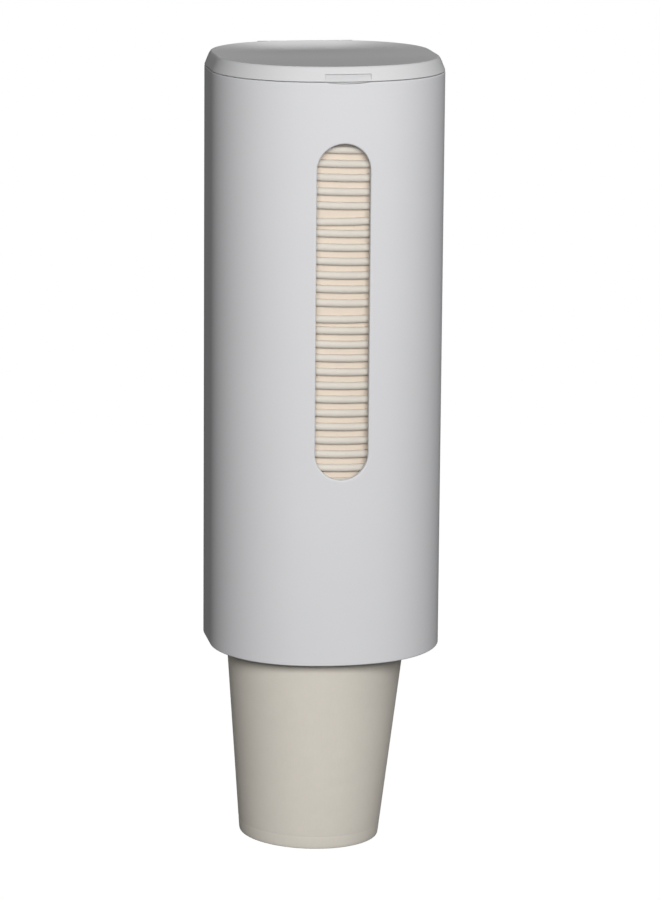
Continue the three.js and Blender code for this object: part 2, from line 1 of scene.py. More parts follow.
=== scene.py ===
"""A wall-hung cup dispenser: a D-shaped plastic housing with an open sight window and a dished lid,
full of nested paper cups, the lowest of which hangs out of its mouth.

Shapes are worked out in millimetres from the middle of the housing's bottom edge, front towards -Y,
and moved to the frame's origin, the middle of the bracket's wall face, when they become pieces."""

import math

import bmesh
import bpy
import numpy as np
from mathutils import Matrix, Vector


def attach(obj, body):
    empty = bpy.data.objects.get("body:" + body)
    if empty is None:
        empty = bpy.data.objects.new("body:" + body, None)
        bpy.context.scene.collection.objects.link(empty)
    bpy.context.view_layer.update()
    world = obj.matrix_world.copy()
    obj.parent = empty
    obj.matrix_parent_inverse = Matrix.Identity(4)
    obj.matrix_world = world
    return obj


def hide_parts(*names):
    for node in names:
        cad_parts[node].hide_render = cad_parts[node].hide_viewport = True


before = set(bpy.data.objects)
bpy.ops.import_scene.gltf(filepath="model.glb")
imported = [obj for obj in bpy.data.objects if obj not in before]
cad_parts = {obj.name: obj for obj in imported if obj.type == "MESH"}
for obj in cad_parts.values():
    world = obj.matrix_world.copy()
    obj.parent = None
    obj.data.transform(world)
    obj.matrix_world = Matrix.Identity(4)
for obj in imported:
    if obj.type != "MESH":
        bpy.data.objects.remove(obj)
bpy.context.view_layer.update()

MM = 0.001
FRAME_ORIGIN = np.array([0.0, 54.5, 120.0])
QUARTER = math.pi / 2
# Points this close are merged, and grid lines this close to a patch's edge lie on it
WELD = 0.002
TOUCH = 0.01
# Steps of an arc in small roundings, along edges and round the outside of openings
ROUNDING_STEPS = 3
EDGE_STEPS = 4
OPENING_STEPS = 5

# D section: a wide front arc, tighter front corners, straight sides, back corners and a flat back
HALF_WIDTH = 45.0
BACK_FACE = 48.0
FRONT_RADIUS = 62.0
FRONT_CORNER_RADIUS = 39.0
BACK_CORNER_RADIUS = 36.0
FRONT_CENTRE_Y = FRONT_RADIUS - HALF_WIDTH
CORNER_X = HALF_WIDTH - FRONT_CORNER_RADIUS
CORNER_DROP = math.sqrt((FRONT_RADIUS - FRONT_CORNER_RADIUS) ** 2 - CORNER_X**2)
CORNER_Y = FRONT_CENTRE_Y - CORNER_DROP
MEETING = math.atan2(CORNER_X, CORNER_DROP)
BACK_X = HALF_WIDTH - BACK_CORNER_RADIUS
BACK_Y = BACK_FACE - BACK_CORNER_RADIUS
# Arc lengths from the middle of the front to the end of each stretch of the right half
FRONT_END = FRONT_RADIUS * MEETING
CORNER_END = FRONT_END + FRONT_CORNER_RADIUS * (QUARTER - MEETING)
SIDE_END = CORNER_END + BACK_Y - CORNER_Y
BACK_CORNER_END = SIDE_END + BACK_CORNER_RADIUS * QUARTER
HALF_ROUND = BACK_CORNER_END + BACK_X
# In front x is kept while a point moves in this far, and between two arc lengths that fades out
KEEP_X_DEPTH = 4.5
KEEP_X_FROM = 11.6
KEEP_X_TO = 15.8

# Housing
HOUSING_HEIGHT = 225.02
HOUSING_WALL = 2.2
WINDOW_HALF_WIDTH = 10.3
WINDOW_LOW = 73.0
WINDOW_HIGH = 201.82
SLOT_LEVELS = (90.5, 154.5)
SLOT_HALF_WIDTH = 11.5
SLOT_BELOW = 15.6
SLOT_ABOVE = 0.3
SLOT_CORNER = 1.0
# Rounding of the openings' edges and of the top and bottom edge, and the width of the narrow faces
# that keep the rounding's shading off the flat skin
EDGE_OUTSIDE = 0.7
EDGE_INSIDE = 0.4
RIM_ROUNDING = 0.45
SUPPORT = 0.35
# Each opening lies in a patch of its own: half width, margin above and below, and where its rings
# lie, as shares of the way from the edge's rounding to the patch's border
WINDOW_PATCH = 15.0
WINDOW_PATCH_MARGIN = 4.5
SLOT_PATCH = 14.5
SLOT_PATCH_MARGIN = 3.0
PATCH_RING_SHARES = (0.66, 0.33)
# Spacing of upright grid lines, and of level ones
WINDOW_SPACING = 1.25
FRONT_SPACING = 1.4
SIDE_SPACING = 5.0
BACK_SPACING = 1.9
SLOT_SPACING = 1.45
LOW_ROW_SPACING = 10.0
PLAIN_ROW_SPACING = 6.0
SLOT_ROW_SPACING = 1.8
WINDOW_ROW_SPACING = 1.5

# Lid, with heights from its seat
LID_SEAT = 225.32
LID_RISE = 5.4
CREST_INSET = 3.0
FLANK_LEAN = 2.1
FLANK_STRAIGHT_SHARE = 0.8
DISH_DEPTH = 2.9
DISH_DEEPEST_BEHIND = 20.0
DISH_BACK_EASE = 9.0
DISH_FRONT_EASE = 1.9
FLANGE_OUTSIDE = 2.6
FLANGE_INSIDE = 4.0
FLANGE_LOW = -3.3
FLANGE_ROUNDING = 0.3
FLANGE_SUPPORT = 0.5
HOLLOW_TOP = 1.2
LID_SIDE_SPACING = 4.0
# Rows of (inset, height): round the flank's foot, at the flange's root and in the hollow's corner
SEAT_ROWS = ((0.35, 0.0), (0.2, 0.0), (0.08, 0.03))
FLANGE_ROOT_ROWS = np.array([(0.0, -0.15), (-0.05, -0.03), (-0.25, 0.0)])
HOLLOW_CORNER_ROWS = np.array([(0.5, 0.0), (0.15, -0.04), (0.0, -0.3)])
# Rings of the flank's curve up to the scoop's ledge and above it, of the dish, and of a flat middle
LOW_FLANK_SHARES = np.array([0.01, 0.03, 0.06, 0.09, 0.12, 0.15, 0.17, 0.19, 0.21, 0.225, 0.24])
HIGH_FLANK_SHARES = np.array(
    [0.26, 0.29, 0.33, 0.38, 0.44, 0.5, 0.56, 0.63, 0.7, 0.78, 0.87, 0.95, 1.0]
)
DISH_SHARES = np.linspace(0.12, 0.985, 26) ** 1.6
MIDDLE_SHARES = np.array([1.0, 0.97, 0.8, 0.6, 0.4, 0.2, 0.08, 0.0])

# Thumb scoop in the lid's front, and the notch under it in the housing's top edge
THUMB_LEFT = -7.5
THUMB_RIGHT = 10.3
SCOOP_HEIGHT = 2.7
SCOOP_FOOT_INSET = 0.15
SCOOP_HEAD_INSET = 2.8
SCOOP_SIDE_WALL = 0.35
NOTCH_DEPTH = 0.6
# Rows of the scoop: under its foot, up its face, and from its head and its mouth along the ledge
SCOOP_SEAT_ROWS = ((0.4, 0.0), (0.3, 0.0), (0.2, 0.02))
SCOOP_FACE_SHARES = np.linspace(0.05, 0.94, 7)
LEDGE_BACK_ROWS = np.array([(-0.02, -0.04), (-0.1, 0.0)])
LEDGE_FRONT_ROWS = np.array([(0.08, 0.0), (0.01, 0.04)])
# Finer upright lines between two arc lengths, and lines at distances outwards from the scoop's ends
THUMB_LINES_FROM = -12.0
THUMB_LINES_TO = 14.0
THUMB_SPACING = 0.7
SCOOP_END_LINES = np.array([-0.9, -0.45, -0.35, -0.26, -0.17, -0.09, 0.0, 0.1, 0.3, 0.7])
CLOSEST_LINES = 0.25

# Hinge
HINGE_Y = 50.7
HINGE_Z = 227.92
KNUCKLE_RADIUS = 2.2
KNUCKLE_ROUNDING = 0.35
KNUCKLE_FACES = 36
BORE_RADIUS = 1.25
HOUSING_KNUCKLES = ((-19.0, -14.4), (-7.6, 7.6), (14.4, 19.0))
LID_KNUCKLES = ((-14.0, -8.0), (8.0, 14.0))
WEB_LOW = 218.02
WEB_INTO_WALL = 0.7
WEB_CORNER = 0.25
WEB_ROUNDING = 0.3
POST_INTO_WEB = 1.0
POST_BELOW_AXIS = 1.2
ARM_FRONT = 45.0
ARM_TOP = 229.3
ARM_BEFORE_AXIS = 1.4
ARM_CORNER = 0.3
ARM_ROUNDING = 0.35

# Paper cup, with heights from its foot
CUP_HEIGHT = 92.2
RIM_RADIUS = 38.0
ROLL_RADIUS = 1.5
ROLL_FROM = -116
ROLL_TO = 104
BODY_TOP_RADIUS = 36.06
BODY_HEIGHT = 89.2
CUP_WALL = 0.3
CUP_SLOPE = math.tan(math.radians(5.5))
FOOT_RADIUS = BODY_TOP_RADIUS - BODY_HEIGHT * CUP_SLOPE
FOOT_WALL = 1.0
FOOT_CURL_FROM = 180
FOOT_CURL_TO = 350
FOOT_CURL_STEPS = 6
FOOT_RECESS = 4.6
BASE_DISC = 0.42
BASE_FILLET = 0.3
BASE_RINGS = (8.0, 22.0)
CRIMP_HEIGHT = 5.0
CRIMP_DEPTH = 0.05
CRIMP_WIDTH = 0.35
# Rows of the wall: at the foot, about the crimp, and from one height to this far under the body's
# top; and of the inside, under the rim and further down
WALL_FIRST_ROW = 1.4
CRIMP_ROWS = np.array([-0.8, -0.3, 0.0, 0.3, 0.8])
WALL_ROWS_FROM = 9.0
WALL_ROWS_UNDER_TOP = 1.0
INSIDE_UNDER_RIM = np.array([0.8, 2.0])
INSIDE_ROWS = (86.0, 70.0, 50.0, 30.0, 12.0, 6.0)
# The lapped seam stands out with one sharp side, from above the foot to a few rows past the rim's
# widest place
SEAM_PROUD = 0.1
SEAM_LAP = math.radians(9.0)
SEAM_EDGE = math.radians(0.25)
SEAM_LOW = 0.6
SEAM_ROWS_PAST_WIDEST = 3
FIRST_SEAM = 1.9
SEAM_STEP = 2.4
HANGING_CUP_LINES = {"round": 96, "wall": 12, "roll": 18}
STACKED_CUP_LINES = {"round": 64, "wall": 7, "roll": 12}

# Stack
CUP_PITCH = 5.32
STACKED_CUPS = 36
# From this cup up the rims show in the window, and the walls between them carry painted warm bounce light
FIRST_CUP_IN_WINDOW = 11
STACK_POINT = np.array([-2.5, -1.02, 5.5])
STACK_LEAN = math.radians(1.621)
HANGING_FOOT = -83.65
# Lift and tilt of the rims that sit unevenly on the cup below, by the cup's number, and how far down
# the wall that fades out
UNEVEN_RIMS = {23: (-0.9, 0.6), 30: (-0.7, 1.3)}
UNEVEN_DEPTH = 16.0

# Beads and bosses for the retainer ring
BEADS = ((1.0, 2.2), (5.8, 7.0))
BEAD_HALF_LENGTH = 13.0
BEAD_PROUD = 1.0
BEAD_ROOT = 1.0
BEAD_END_POWER = 8
BEAD_FACES = 8
BEAD_STATIONS = 24
BOSS_PLACES = ((-32.39, 31.79), (32.39, 31.79))
BOSS_RADIUS = 3.0
BOSS_LOW = 5.8
BOSS_HIGH = 17.8
BOSS_TOP_ROUNDING = 0.4
BOSS_LOW_ROUNDING = 0.3
BOSS_SUPPORT = 0.2
BOSS_FACES = 32
BOSS_BORE = 1.7
BOSS_BORE_TOP = 15.6
BORE_CHAMFER = 0.25
RIB_HALF_WIDTH = 1.0
RIB_FROM = 2.4
RIB_TO = 4.2
RIB_CORNER = 0.2
RIB_ROUNDING = 0.3

# Surfaces: the middle of a noise pattern, and how far clouds, grain and fibres change sheen and relief
NOISE_MIDDLE = 0.5
CLOUD_SHEEN = 0.22
GRAIN_SHEEN = 0.04
CLOUD_RELIEF = 0.6
PAPER_ROUGHNESS = 0.62
PAPER_SHEEN = 0.12
PAPER_CLOUD_SCALE = 160.0
FIBRE_SHARE = 0.8
FIBRE_SQUEEZE = 0.3
# How far beyond the wall's widest place the rims' colour starts and is full, the walls keeping any painted
# bounce warmth
RIM_COLOUR_FROM = 0.12
RIM_COLOUR_FULL = 0.4
# Sockets of a Mix node that mixes colours
MIX_SHARE = 0
MIX_FIRST = 6
MIX_SECOND = 7
MIXED = 2

# Camera, solved from the photograph's edges: place and reach in metres, lens in millimetres
CAMERA_PLACE = Vector((-0.26807, -1.66874, 0.29941))
CAMERA_YAW = math.radians(-9.5271)
CAMERA_PITCH = math.radians(11.8689)
CAMERA_ROLL = math.radians(0.45778)
CAMERA_LENS = 171.187
CAMERA_SENSOR = 36.0
CAMERA_REACH = 50.0

# Light and floor, in metres
LIT_POINT = (0.0, -0.07, 0.0)
AMBIENT = 0.10
FLOOR_HEIGHT = -1.3
FLOOR_HALF_WIDTH = 6.0
FLOOR_LINES = 9
FLOOR_GREY = 0.25
FLOOR_ROUGHNESS = 0.9
FLOOR_GLOW = 0.98


def smoothstep(value, low, high):
    """0 up to low, 1 from high on, and between them the share s as 3 s^2 - 2 s^3."""
    share = np.clip((value - low) / (high - low), 0.0, 1.0)
    return share * share * (3.0 - 2.0 * share)


def section_point(along, inset):
    """The point (x, y) of the D section at an arc length from the middle of the front, anticlockwise
    seen from above, moved in by inset. Each stretch is an arc of radius less the inset about its own
    centre, or a straight moved in. In front, x at first stays while y follows the inset arc."""
    wrapped = (along + HALF_ROUND) % (2 * HALF_ROUND) - HALF_ROUND
    side = np.where(wrapped < 0, -1.0, 1.0)
    a = np.abs(wrapped)
    kept = np.minimum(inset, KEEP_X_DEPTH) * (1 - smoothstep(a, KEEP_X_FROM, KEEP_X_TO))
    moved = inset - kept
    front_x = (FRONT_RADIUS - moved) * np.sin(np.minimum(a, FRONT_END) / FRONT_RADIUS)
    front_y = FRONT_CENTRE_Y - np.sqrt((FRONT_RADIUS - inset) ** 2 - front_x**2)
    corner = MEETING + (a - FRONT_END) / FRONT_CORNER_RADIUS
    corner_radius = FRONT_CORNER_RADIUS - inset
    back = (a - SIDE_END) / BACK_CORNER_RADIUS
    back_radius = BACK_CORNER_RADIUS - inset
    stretches = [a <= FRONT_END, a <= CORNER_END, a <= SIDE_END, a <= BACK_CORNER_END]
    x = np.select(
        stretches,
        [
            front_x,
            CORNER_X + corner_radius * np.sin(corner),
            HALF_WIDTH - inset + 0 * a,
            BACK_X + back_radius * np.cos(back),
        ],
        BACK_X - (a - BACK_CORNER_END),
    )
    y = np.select(
        stretches,
        [
            front_y,
            CORNER_Y - corner_radius * np.cos(corner),
            CORNER_Y + (a - CORNER_END),
            BACK_Y + back_radius * np.sin(back),
        ],
        BACK_FACE - inset + 0 * a,
    )
    return side * x, y


def section_surface(along, inset, height):
    """Points of arrays of arc lengths, insets and heights, as one array of (x, y, z)."""
    along, inset, height = np.broadcast_arrays(along, inset, height)
    x, y = section_point(along, inset)
    return np.stack([x, y, height], axis=-1)


def grid_part(points, close_rows=False, close_columns=False):
    """A grid of points (rows, columns, 3) as points and quads. A closed direction joins its last line
    to its first."""
    rows, columns = points.shape[:2]
    index = np.arange(rows * columns).reshape(rows, columns)
    if close_rows:
        index = np.vstack([index, index[:1]])
    if close_columns:
        index = np.hstack([index, index[:, :1]])
    quads = np.stack([index[:-1, :-1], index[:-1, 1:], index[1:, 1:], index[1:, :-1]], axis=-1)
    return points.reshape(-1, 3), quads.reshape(-1, 4)


def revolved(profile, angles):
    """A profile of (radius, height) turned about the Z axis through the angles, closed round."""
    radius = profile[:, 0, None]
    height = profile[:, 1, None]
    return np.stack(
        [radius * np.cos(angles), radius * np.sin(angles), height + 0 * angles], axis=-1
    )


def arc(centre, radius, start, end, steps):
    """Points (x, y) round an arc from one angle to another, in degrees."""
    angles = np.radians(np.linspace(start, end, steps + 1))
    return np.stack(
        [centre[0] + radius * np.cos(angles), centre[1] + radius * np.sin(angles)], axis=-1
    )


def piece(name, parts, body, material, stands_for=()):
    """Parts in millimetres become one mesh at the frame's origin: points that meet are merged,
    faces are turned outwards, and the piece rides on its body."""
    offsets = np.cumsum([0] + [len(points) for points, _ in parts])
    points = np.concatenate([points for points, _ in parts])
    quads = np.concatenate([quads + offset for (_, quads), offset in zip(parts, offsets)])
    mesh = bpy.data.meshes.new(name)
    mesh.from_pydata((points - FRAME_ORIGIN) * MM, [], quads)
    merged = bmesh.new()
    merged.from_mesh(mesh)
    bmesh.ops.remove_doubles(merged, verts=merged.verts, dist=WELD * MM)
    bmesh.ops.recalc_face_normals(merged, faces=merged.faces)
    merged.to_mesh(mesh)
    merged.free()
    mesh.polygons.foreach_set("use_smooth", np.ones(len(mesh.polygons), bool))
    mesh.materials.append(material)
    item = bpy.data.objects.new(name, mesh)
    bpy.context.scene.collection.objects.link(item)
    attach(item, body)
    if stands_for:
        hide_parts(*stands_for)
    return item


def turn_angles(count):
    """Evenly spaced angles of one full turn."""
    return np.linspace(0, 2 * np.pi, count + 1)[:-1]


def lines_between(*stops):
    """Grid lines through the stops, given as value, spacing, value, spacing, ... value."""
    lines = [np.array([stops[0]])]
    for low, spacing, high in zip(stops[:-2:2], stops[1::2], stops[2::2]):
        count = max(1, int(round((high - low) / spacing)))
        lines.append(np.linspace(low, high, count + 1)[1:])
    return np.concatenate(lines)


def housing_columns():
    """Arc lengths of the housing's upright grid lines, from the middle of the back round the left,
    the front and the right. Lines fall on the edges of the patches round the window and slots."""
    slot_edge = HALF_ROUND - SLOT_PATCH
    half = lines_between(
        0.0, WINDOW_SPACING, WINDOW_PATCH, FRONT_SPACING, CORNER_END, SIDE_SPACING, SIDE_END,
        BACK_SPACING, slot_edge, SLOT_SPACING, HALF_ROUND,
    )
    return np.concatenate([-half[::-1], half[1:-1]])


def slot_heights(level):
    """Lower and upper edge of the slot over one hook."""
    return level - SLOT_BELOW, level + SLOT_ABOVE


def hole_patches():
    """Middle arc length, half width, low, high, corner radius, patch half width and patch margin of
    the window and the two slots."""
    window = (
        0.0, WINDOW_HALF_WIDTH, WINDOW_LOW, WINDOW_HIGH, WINDOW_HALF_WIDTH,
        WINDOW_PATCH, WINDOW_PATCH_MARGIN,
    )
    slots = [
        (-HALF_ROUND, SLOT_HALF_WIDTH, *slot_heights(level), SLOT_CORNER, SLOT_PATCH, SLOT_PATCH_MARGIN)
        for level in SLOT_LEVELS
    ]
    return [window, *slots]


def housing_rows():
    """Heights of the housing's level grid lines. Lines fall on the edges of every patch."""
    low_edge = EDGE_OUTSIDE + SUPPORT
    first_low, first_high = slot_heights(SLOT_LEVELS[0])
    second_low, second_high = slot_heights(SLOT_LEVELS[1])
    return lines_between(
        low_edge, LOW_ROW_SPACING, WINDOW_LOW - WINDOW_PATCH_MARGIN,
        WINDOW_ROW_SPACING, first_low - SLOT_PATCH_MARGIN,
        WINDOW_ROW_SPACING, WINDOW_LOW + WINDOW_HALF_WIDTH,
        SLOT_ROW_SPACING, first_high + SLOT_PATCH_MARGIN,
        PLAIN_ROW_SPACING, second_low - SLOT_PATCH_MARGIN,
        SLOT_ROW_SPACING, second_high + SLOT_PATCH_MARGIN,
        PLAIN_ROW_SPACING, WINDOW_HIGH - WINDOW_HALF_WIDTH,
        WINDOW_ROW_SPACING, WINDOW_HIGH + WINDOW_PATCH_MARGIN,
        PLAIN_ROW_SPACING, HOUSING_HEIGHT - low_edge,
    )


def wall_profile(outside, inside, far, outside_steps):
    """(offset, inset) of a section through the wall's edge: in over the outer skin from far away,
    round the outer edge, through the wall, round the inner edge and out over the inner skin."""
    wall = HOUSING_WALL
    return np.concatenate([
        [[far, 0.0], [outside + SUPPORT, 0.0]],
        arc((outside, outside), outside, 270, 180, outside_steps),
        [[0.0, outside + SUPPORT], [0.0, wall - inside - SUPPORT / 2]],
        arc((inside, wall - inside), inside, 180, 90, EDGE_STEPS),
        [[inside + SUPPORT, wall], [far, wall]],
    ])


def rectangle_border(across, up):
    """The border points of a grid of lines, anticlockwise from its lower left corner."""
    return np.concatenate([
        np.stack([across, 0 * across + up[0]], -1),
        np.stack([0 * up[1:] + across[-1], up[1:]], -1),
        np.stack([across[-2::-1], 0 * across[1:] + up[-1]], -1),
        np.stack([0 * up[1:-1] + across[0], up[-2:0:-1]], -1),
    ])


def patch_part(columns, rows, hole):
    """The housing's wall round one opening. Each point of the patch's border is drawn straight
    towards the nearest point of the opening's rounded outline, and from there through the wall."""
    middle, half_width, low, high, corner, patch_half, margin = hole
    across = columns[np.abs(columns - middle) < patch_half + TOUCH]
    if middle < 0:
        across = middle + lines_between(-patch_half, SLOT_SPACING, patch_half)
    up = rows[(rows > low - margin - TOUCH) & (rows < high + margin + TOUCH)]
    border = rectangle_border(across, up)
    centre = np.array([middle, (low + high) / 2])
    core_half = np.array([half_width - corner, (high - low) / 2 - corner])
    core = centre + np.clip(border - centre, -core_half, core_half)
    distance = np.linalg.norm(border - core, axis=1, keepdims=True)
    out = (border - core) / distance
    far = EDGE_OUTSIDE + 3 * SUPPORT
    profile = wall_profile(EDGE_OUTSIDE, EDGE_INSIDE, far, OPENING_STEPS)
    between = [
        core + out * (corner + far + (distance - corner - far) * share) for share in PATCH_RING_SHARES
    ]
    through = [core + out * (corner + offset) for offset, _ in profile]
    plane = np.array([border, *between, *through, *between[::-1], border])
    skin_rings = 1 + len(between)
    insets = [0.0] * skin_rings + [inset for _, inset in profile] + [HOUSING_WALL] * skin_rings
    points = section_surface(plane[..., 0], np.array(insets)[:, None], plane[..., 1])
    return grid_part(points, close_columns=True)


def housing_skin(columns, rows, inset):
    """One skin of the housing at an inset from the section, outside the patches."""
    points = section_surface(columns[None, :], inset, rows[:, None])
    flat, quads = grid_part(points, close_columns=True)
    steps = np.append(columns[1:], columns[0] + 2 * HALF_ROUND) - columns
    mid_u = (columns + steps / 2 + HALF_ROUND) % (2 * HALF_ROUND) - HALF_ROUND
    mid_z = (rows[:-1] + rows[1:]) / 2
    kept = np.ones((len(mid_z), len(mid_u)), bool)
    for middle, _, low, high, _, patch_half, margin in hole_patches():
        reach = np.abs((mid_u - middle + HALF_ROUND) % (2 * HALF_ROUND) - HALF_ROUND)
        in_band = (mid_z > low - margin) & (mid_z < high + margin)
        kept &= ~(in_band[:, None] & (reach < patch_half)[None, :])
    return flat, quads[kept.reshape(-1)]


def housing_edge(columns, rows, top):
    """The housing's top or bottom edge, rounded outside and inside, as a band round the section. The
    notch draws the top edge down, less and less towards the band's lower side."""
    far = rows[0]
    profile = wall_profile(RIM_ROUNDING, EDGE_INSIDE, far, EDGE_STEPS)
    height = profile[:, 0, None]
    if top:
        dip = notch_dip(columns)[None, :] * (1 - height / far)
        height = HOUSING_HEIGHT - height - dip
    points = section_surface(columns[None, :], profile[:, 1, None], height)
    return grid_part(points, close_columns=True)


def thumb_share(columns):
    """Where grid lines stand across the thumb's room, from -1 at its left end to 1 at its right, and
    whether they are in front."""
    x, y = section_point(columns, 0.0)
    return (2 * x - THUMB_LEFT - THUMB_RIGHT) / (THUMB_RIGHT - THUMB_LEFT), y < 0


def notch_dip(columns):
    """How far the thumb notch bows the housing's top edge down, as a parabola."""
    share, front = thumb_share(columns)
    return NOTCH_DEPTH * np.clip(1 - share**2, 0.0, 1.0) * front


def housing_parts():
    """Outer and inner skin, bottom and top edge, and the patches of the window and the slots."""
    columns = housing_columns()
    rows = housing_rows()
    skins = [housing_skin(columns, rows, inset) for inset in (0.0, HOUSING_WALL)]
    edges = [housing_edge(columns, rows, top) for top in (False, True)]
    patches = [patch_part(columns, rows, hole) for hole in hole_patches()]
    return [*skins, *edges, *patches]


def lid_columns():
    """Arc lengths of the lid's upright grid lines: even stretches, and lines close together at the
    two ends of the thumb scoop in place of the even ones near them."""
    left_end = FRONT_RADIUS * math.asin(THUMB_LEFT / FRONT_RADIUS)
    right_end = FRONT_RADIUS * math.asin(THUMB_RIGHT / FRONT_RADIUS)
    near = np.concatenate([left_end - SCOOP_END_LINES, right_end + SCOOP_END_LINES])
    even = lines_between(
        -HALF_ROUND, BACK_SPACING, -SIDE_END, LID_SIDE_SPACING, -CORNER_END, FRONT_SPACING,
        THUMB_LINES_FROM, THUMB_SPACING, THUMB_LINES_TO, FRONT_SPACING, CORNER_END,
        LID_SIDE_SPACING, SIDE_END, BACK_SPACING, HALF_ROUND,
    )[:-1]
    apart = np.abs(even[:, None] - near[None, :]).min(axis=1) > CLOSEST_LINES
    return np.sort(np.concatenate([even[apart], near]))


def flank_profile(shares):
    """(inset, height) of the lid's flank at shares of its cubic curve: straight from the seat towards
    the leaning corner, then over into the level crest."""
    early = 3 * shares * (1 - shares) ** 2
    late = 3 * shares**2 * (1 - shares)
    corner = early * FLANK_STRAIGHT_SHARE + late
    inset = FLANK_LEAN * corner + CREST_INSET * shares**3
    return np.stack([inset, LID_RISE * (corner + shares**3)], axis=-1)


def front_rows():
    """Rows of (inset, height) from the lid's seat up to the scoop's ledge, twice: on the plain flank,
    and in the scoop, whose face leans back to the ledge."""
    plain = flank_profile(LOW_FLANK_SHARES)
    foot = np.array([SCOOP_FOOT_INSET, 0.0])
    head = np.array([SCOOP_HEAD_INSET, SCOOP_HEIGHT])
    mouth = np.array([np.interp(SCOOP_HEIGHT, plain[:, 1], plain[:, 0]), SCOOP_HEIGHT])
    scoop = np.concatenate([
        SCOOP_SEAT_ROWS,
        foot + (head - foot) * SCOOP_FACE_SHARES[:, None],
        head + LEDGE_BACK_ROWS,
        mouth + LEDGE_FRONT_ROWS,
    ])
    return np.concatenate([SEAT_ROWS, plain]), scoop


def lid_front(columns):
    """Insets and heights of the lid's rows from its seat up to the scoop's ledge, for every column.
    Across the ends of the scoop the rows leave the flank for its face."""
    plain, scoop = front_rows()
    share, front = thumb_share(columns)
    from_end = (1 - np.abs(share)) * (THUMB_RIGHT - THUMB_LEFT) / 2
    weight = smoothstep(from_end, 0.0, SCOOP_SIDE_WALL) * front
    return [
        plain[:, axis, None] * (1 - weight) + scoop[:, axis, None] * weight for axis in (0, 1)
    ]


def dish_rings(shares):
    """Insets, heights and shifts back of rings at shares of the dish's depth. Each lies closer to the
    crest behind than in front: at a share s of its way to the deepest place, which lies behind the
    middle, the dish has fallen by 1 - (1 - s)^ease of its depth, with one ease behind and a lower one
    in front."""
    reach = HALF_WIDTH - CREST_INSET
    behind = (reach - DISH_DEEPEST_BEHIND) * (1 - (1 - shares) ** (1 / DISH_BACK_EASE))
    before = (reach + DISH_DEEPEST_BEHIND) * (1 - (1 - shares) ** (1 / DISH_FRONT_EASE))
    return CREST_INSET + (behind + before) / 2, LID_RISE - DISH_DEPTH * shares, (before - behind) / 2


def shrunk_to_middle(ring):
    """A flat face inside a ring of points, as rings that shrink to the middle."""
    middle = ring.mean(axis=0)
    return grid_part(middle + (ring - middle) * MIDDLE_SHARES[:, None, None], close_columns=True)


def flange_rows():
    """Rows of (inset, height) under the lid: from the hollow's ceiling down the flange's inside, round
    its lower edge and up its outside to the seat."""
    low = FLANGE_LOW + FLANGE_ROUNDING
    return np.concatenate([
        np.array([FLANGE_INSIDE, HOLLOW_TOP]) + HOLLOW_CORNER_ROWS,
        [[FLANGE_INSIDE, FLANGE_LOW + FLANGE_SUPPORT]],
        arc((FLANGE_INSIDE - FLANGE_ROUNDING, low), FLANGE_ROUNDING, 0, -90, ROUNDING_STEPS),
        arc((FLANGE_OUTSIDE + FLANGE_ROUNDING, low), FLANGE_ROUNDING, 270, 180, ROUNDING_STEPS),
        np.array([FLANGE_OUTSIDE, 0.0]) + FLANGE_ROOT_ROWS,
    ])


def lid_parts():
    """The lid as one closed skin: underneath the hollow and the flange, then seat, flank with the
    scoop, crest and dish."""
    columns = lid_columns()
    front_inset, front_height = lid_front(columns)
    dish_inset, dish_height, dish_shift = dish_rings(DISH_SHARES)
    under = flange_rows()
    flank = flank_profile(HIGH_FLANK_SHARES)
    lower = section_surface(columns, under[:, 0, None], LID_SEAT + under[:, 1, None])
    front = section_surface(columns, front_inset, LID_SEAT + front_height)
    upper = section_surface(columns, flank[:, 0, None], LID_SEAT + flank[:, 1, None])
    dish = section_surface(columns, dish_inset[:, None], LID_SEAT + dish_height[:, None])
    dish[..., 1] += dish_shift[:, None]
    shell = np.concatenate([lower, front, upper, dish])
    return [
        grid_part(shell, close_columns=True),
        shrunk_to_middle(shell[-1]),
        shrunk_to_middle(shell[0]),
    ]


def sleeve_part(low, high, centre):
    """A knuckle along X with rounded ends: the closed outline of its wall, turned about its axis."""
    rounding = KNUCKLE_ROUNDING
    outer, inner = KNUCKLE_RADIUS - rounding, BORE_RADIUS + rounding
    outline = np.concatenate([
        arc((outer, low + rounding), rounding, 0, -90, ROUNDING_STEPS),
        arc((inner, low + rounding), rounding, -90, -180, ROUNDING_STEPS),
        arc((inner, high - rounding), rounding, 180, 90, ROUNDING_STEPS),
        arc((outer, high - rounding), rounding, 90, 0, ROUNDING_STEPS),
    ])
    turned = revolved(outline, turn_angles(KNUCKLE_FACES))
    points = np.stack([turned[..., 2], turned[..., 0] + centre[0], turned[..., 1] + centre[1]], -1)
    return grid_part(points, close_rows=True, close_columns=True)


def rounded_bar(outline, low, high, rounding, axis):
    """A convex outline carried along an axis, its ends rounded by drawing the outline in as they
    near: at each end the outline follows a quarter circle. axis 0 runs along X with the outline in
    (y, z), and axis 2 along Z with the outline in (x, y)."""
    middle = outline.mean(axis=0)
    reach = np.linalg.norm(outline - middle, axis=1).min()
    quarter = arc((0.0, 0.0), rounding, 270, 360, EDGE_STEPS)
    start = np.stack([low + rounding + quarter[:, 1], quarter[:, 0] - rounding], -1)
    end = np.stack([high - rounding - quarter[::-1, 1], quarter[::-1, 0] - rounding], -1)
    stations = np.concatenate([[[low, -reach]], start, end, [[high, -reach]]])
    shrink = 1 + stations[:, 1] / reach
    flat = middle + (outline[None] - middle) * shrink[:, None, None]
    along = stations[:, 0, None] + 0 * flat[..., 0]
    order = [along, flat[..., 0], flat[..., 1]] if axis == 0 else [flat[..., 0], flat[..., 1], along]
    return grid_part(np.stack(order, -1), close_columns=True)


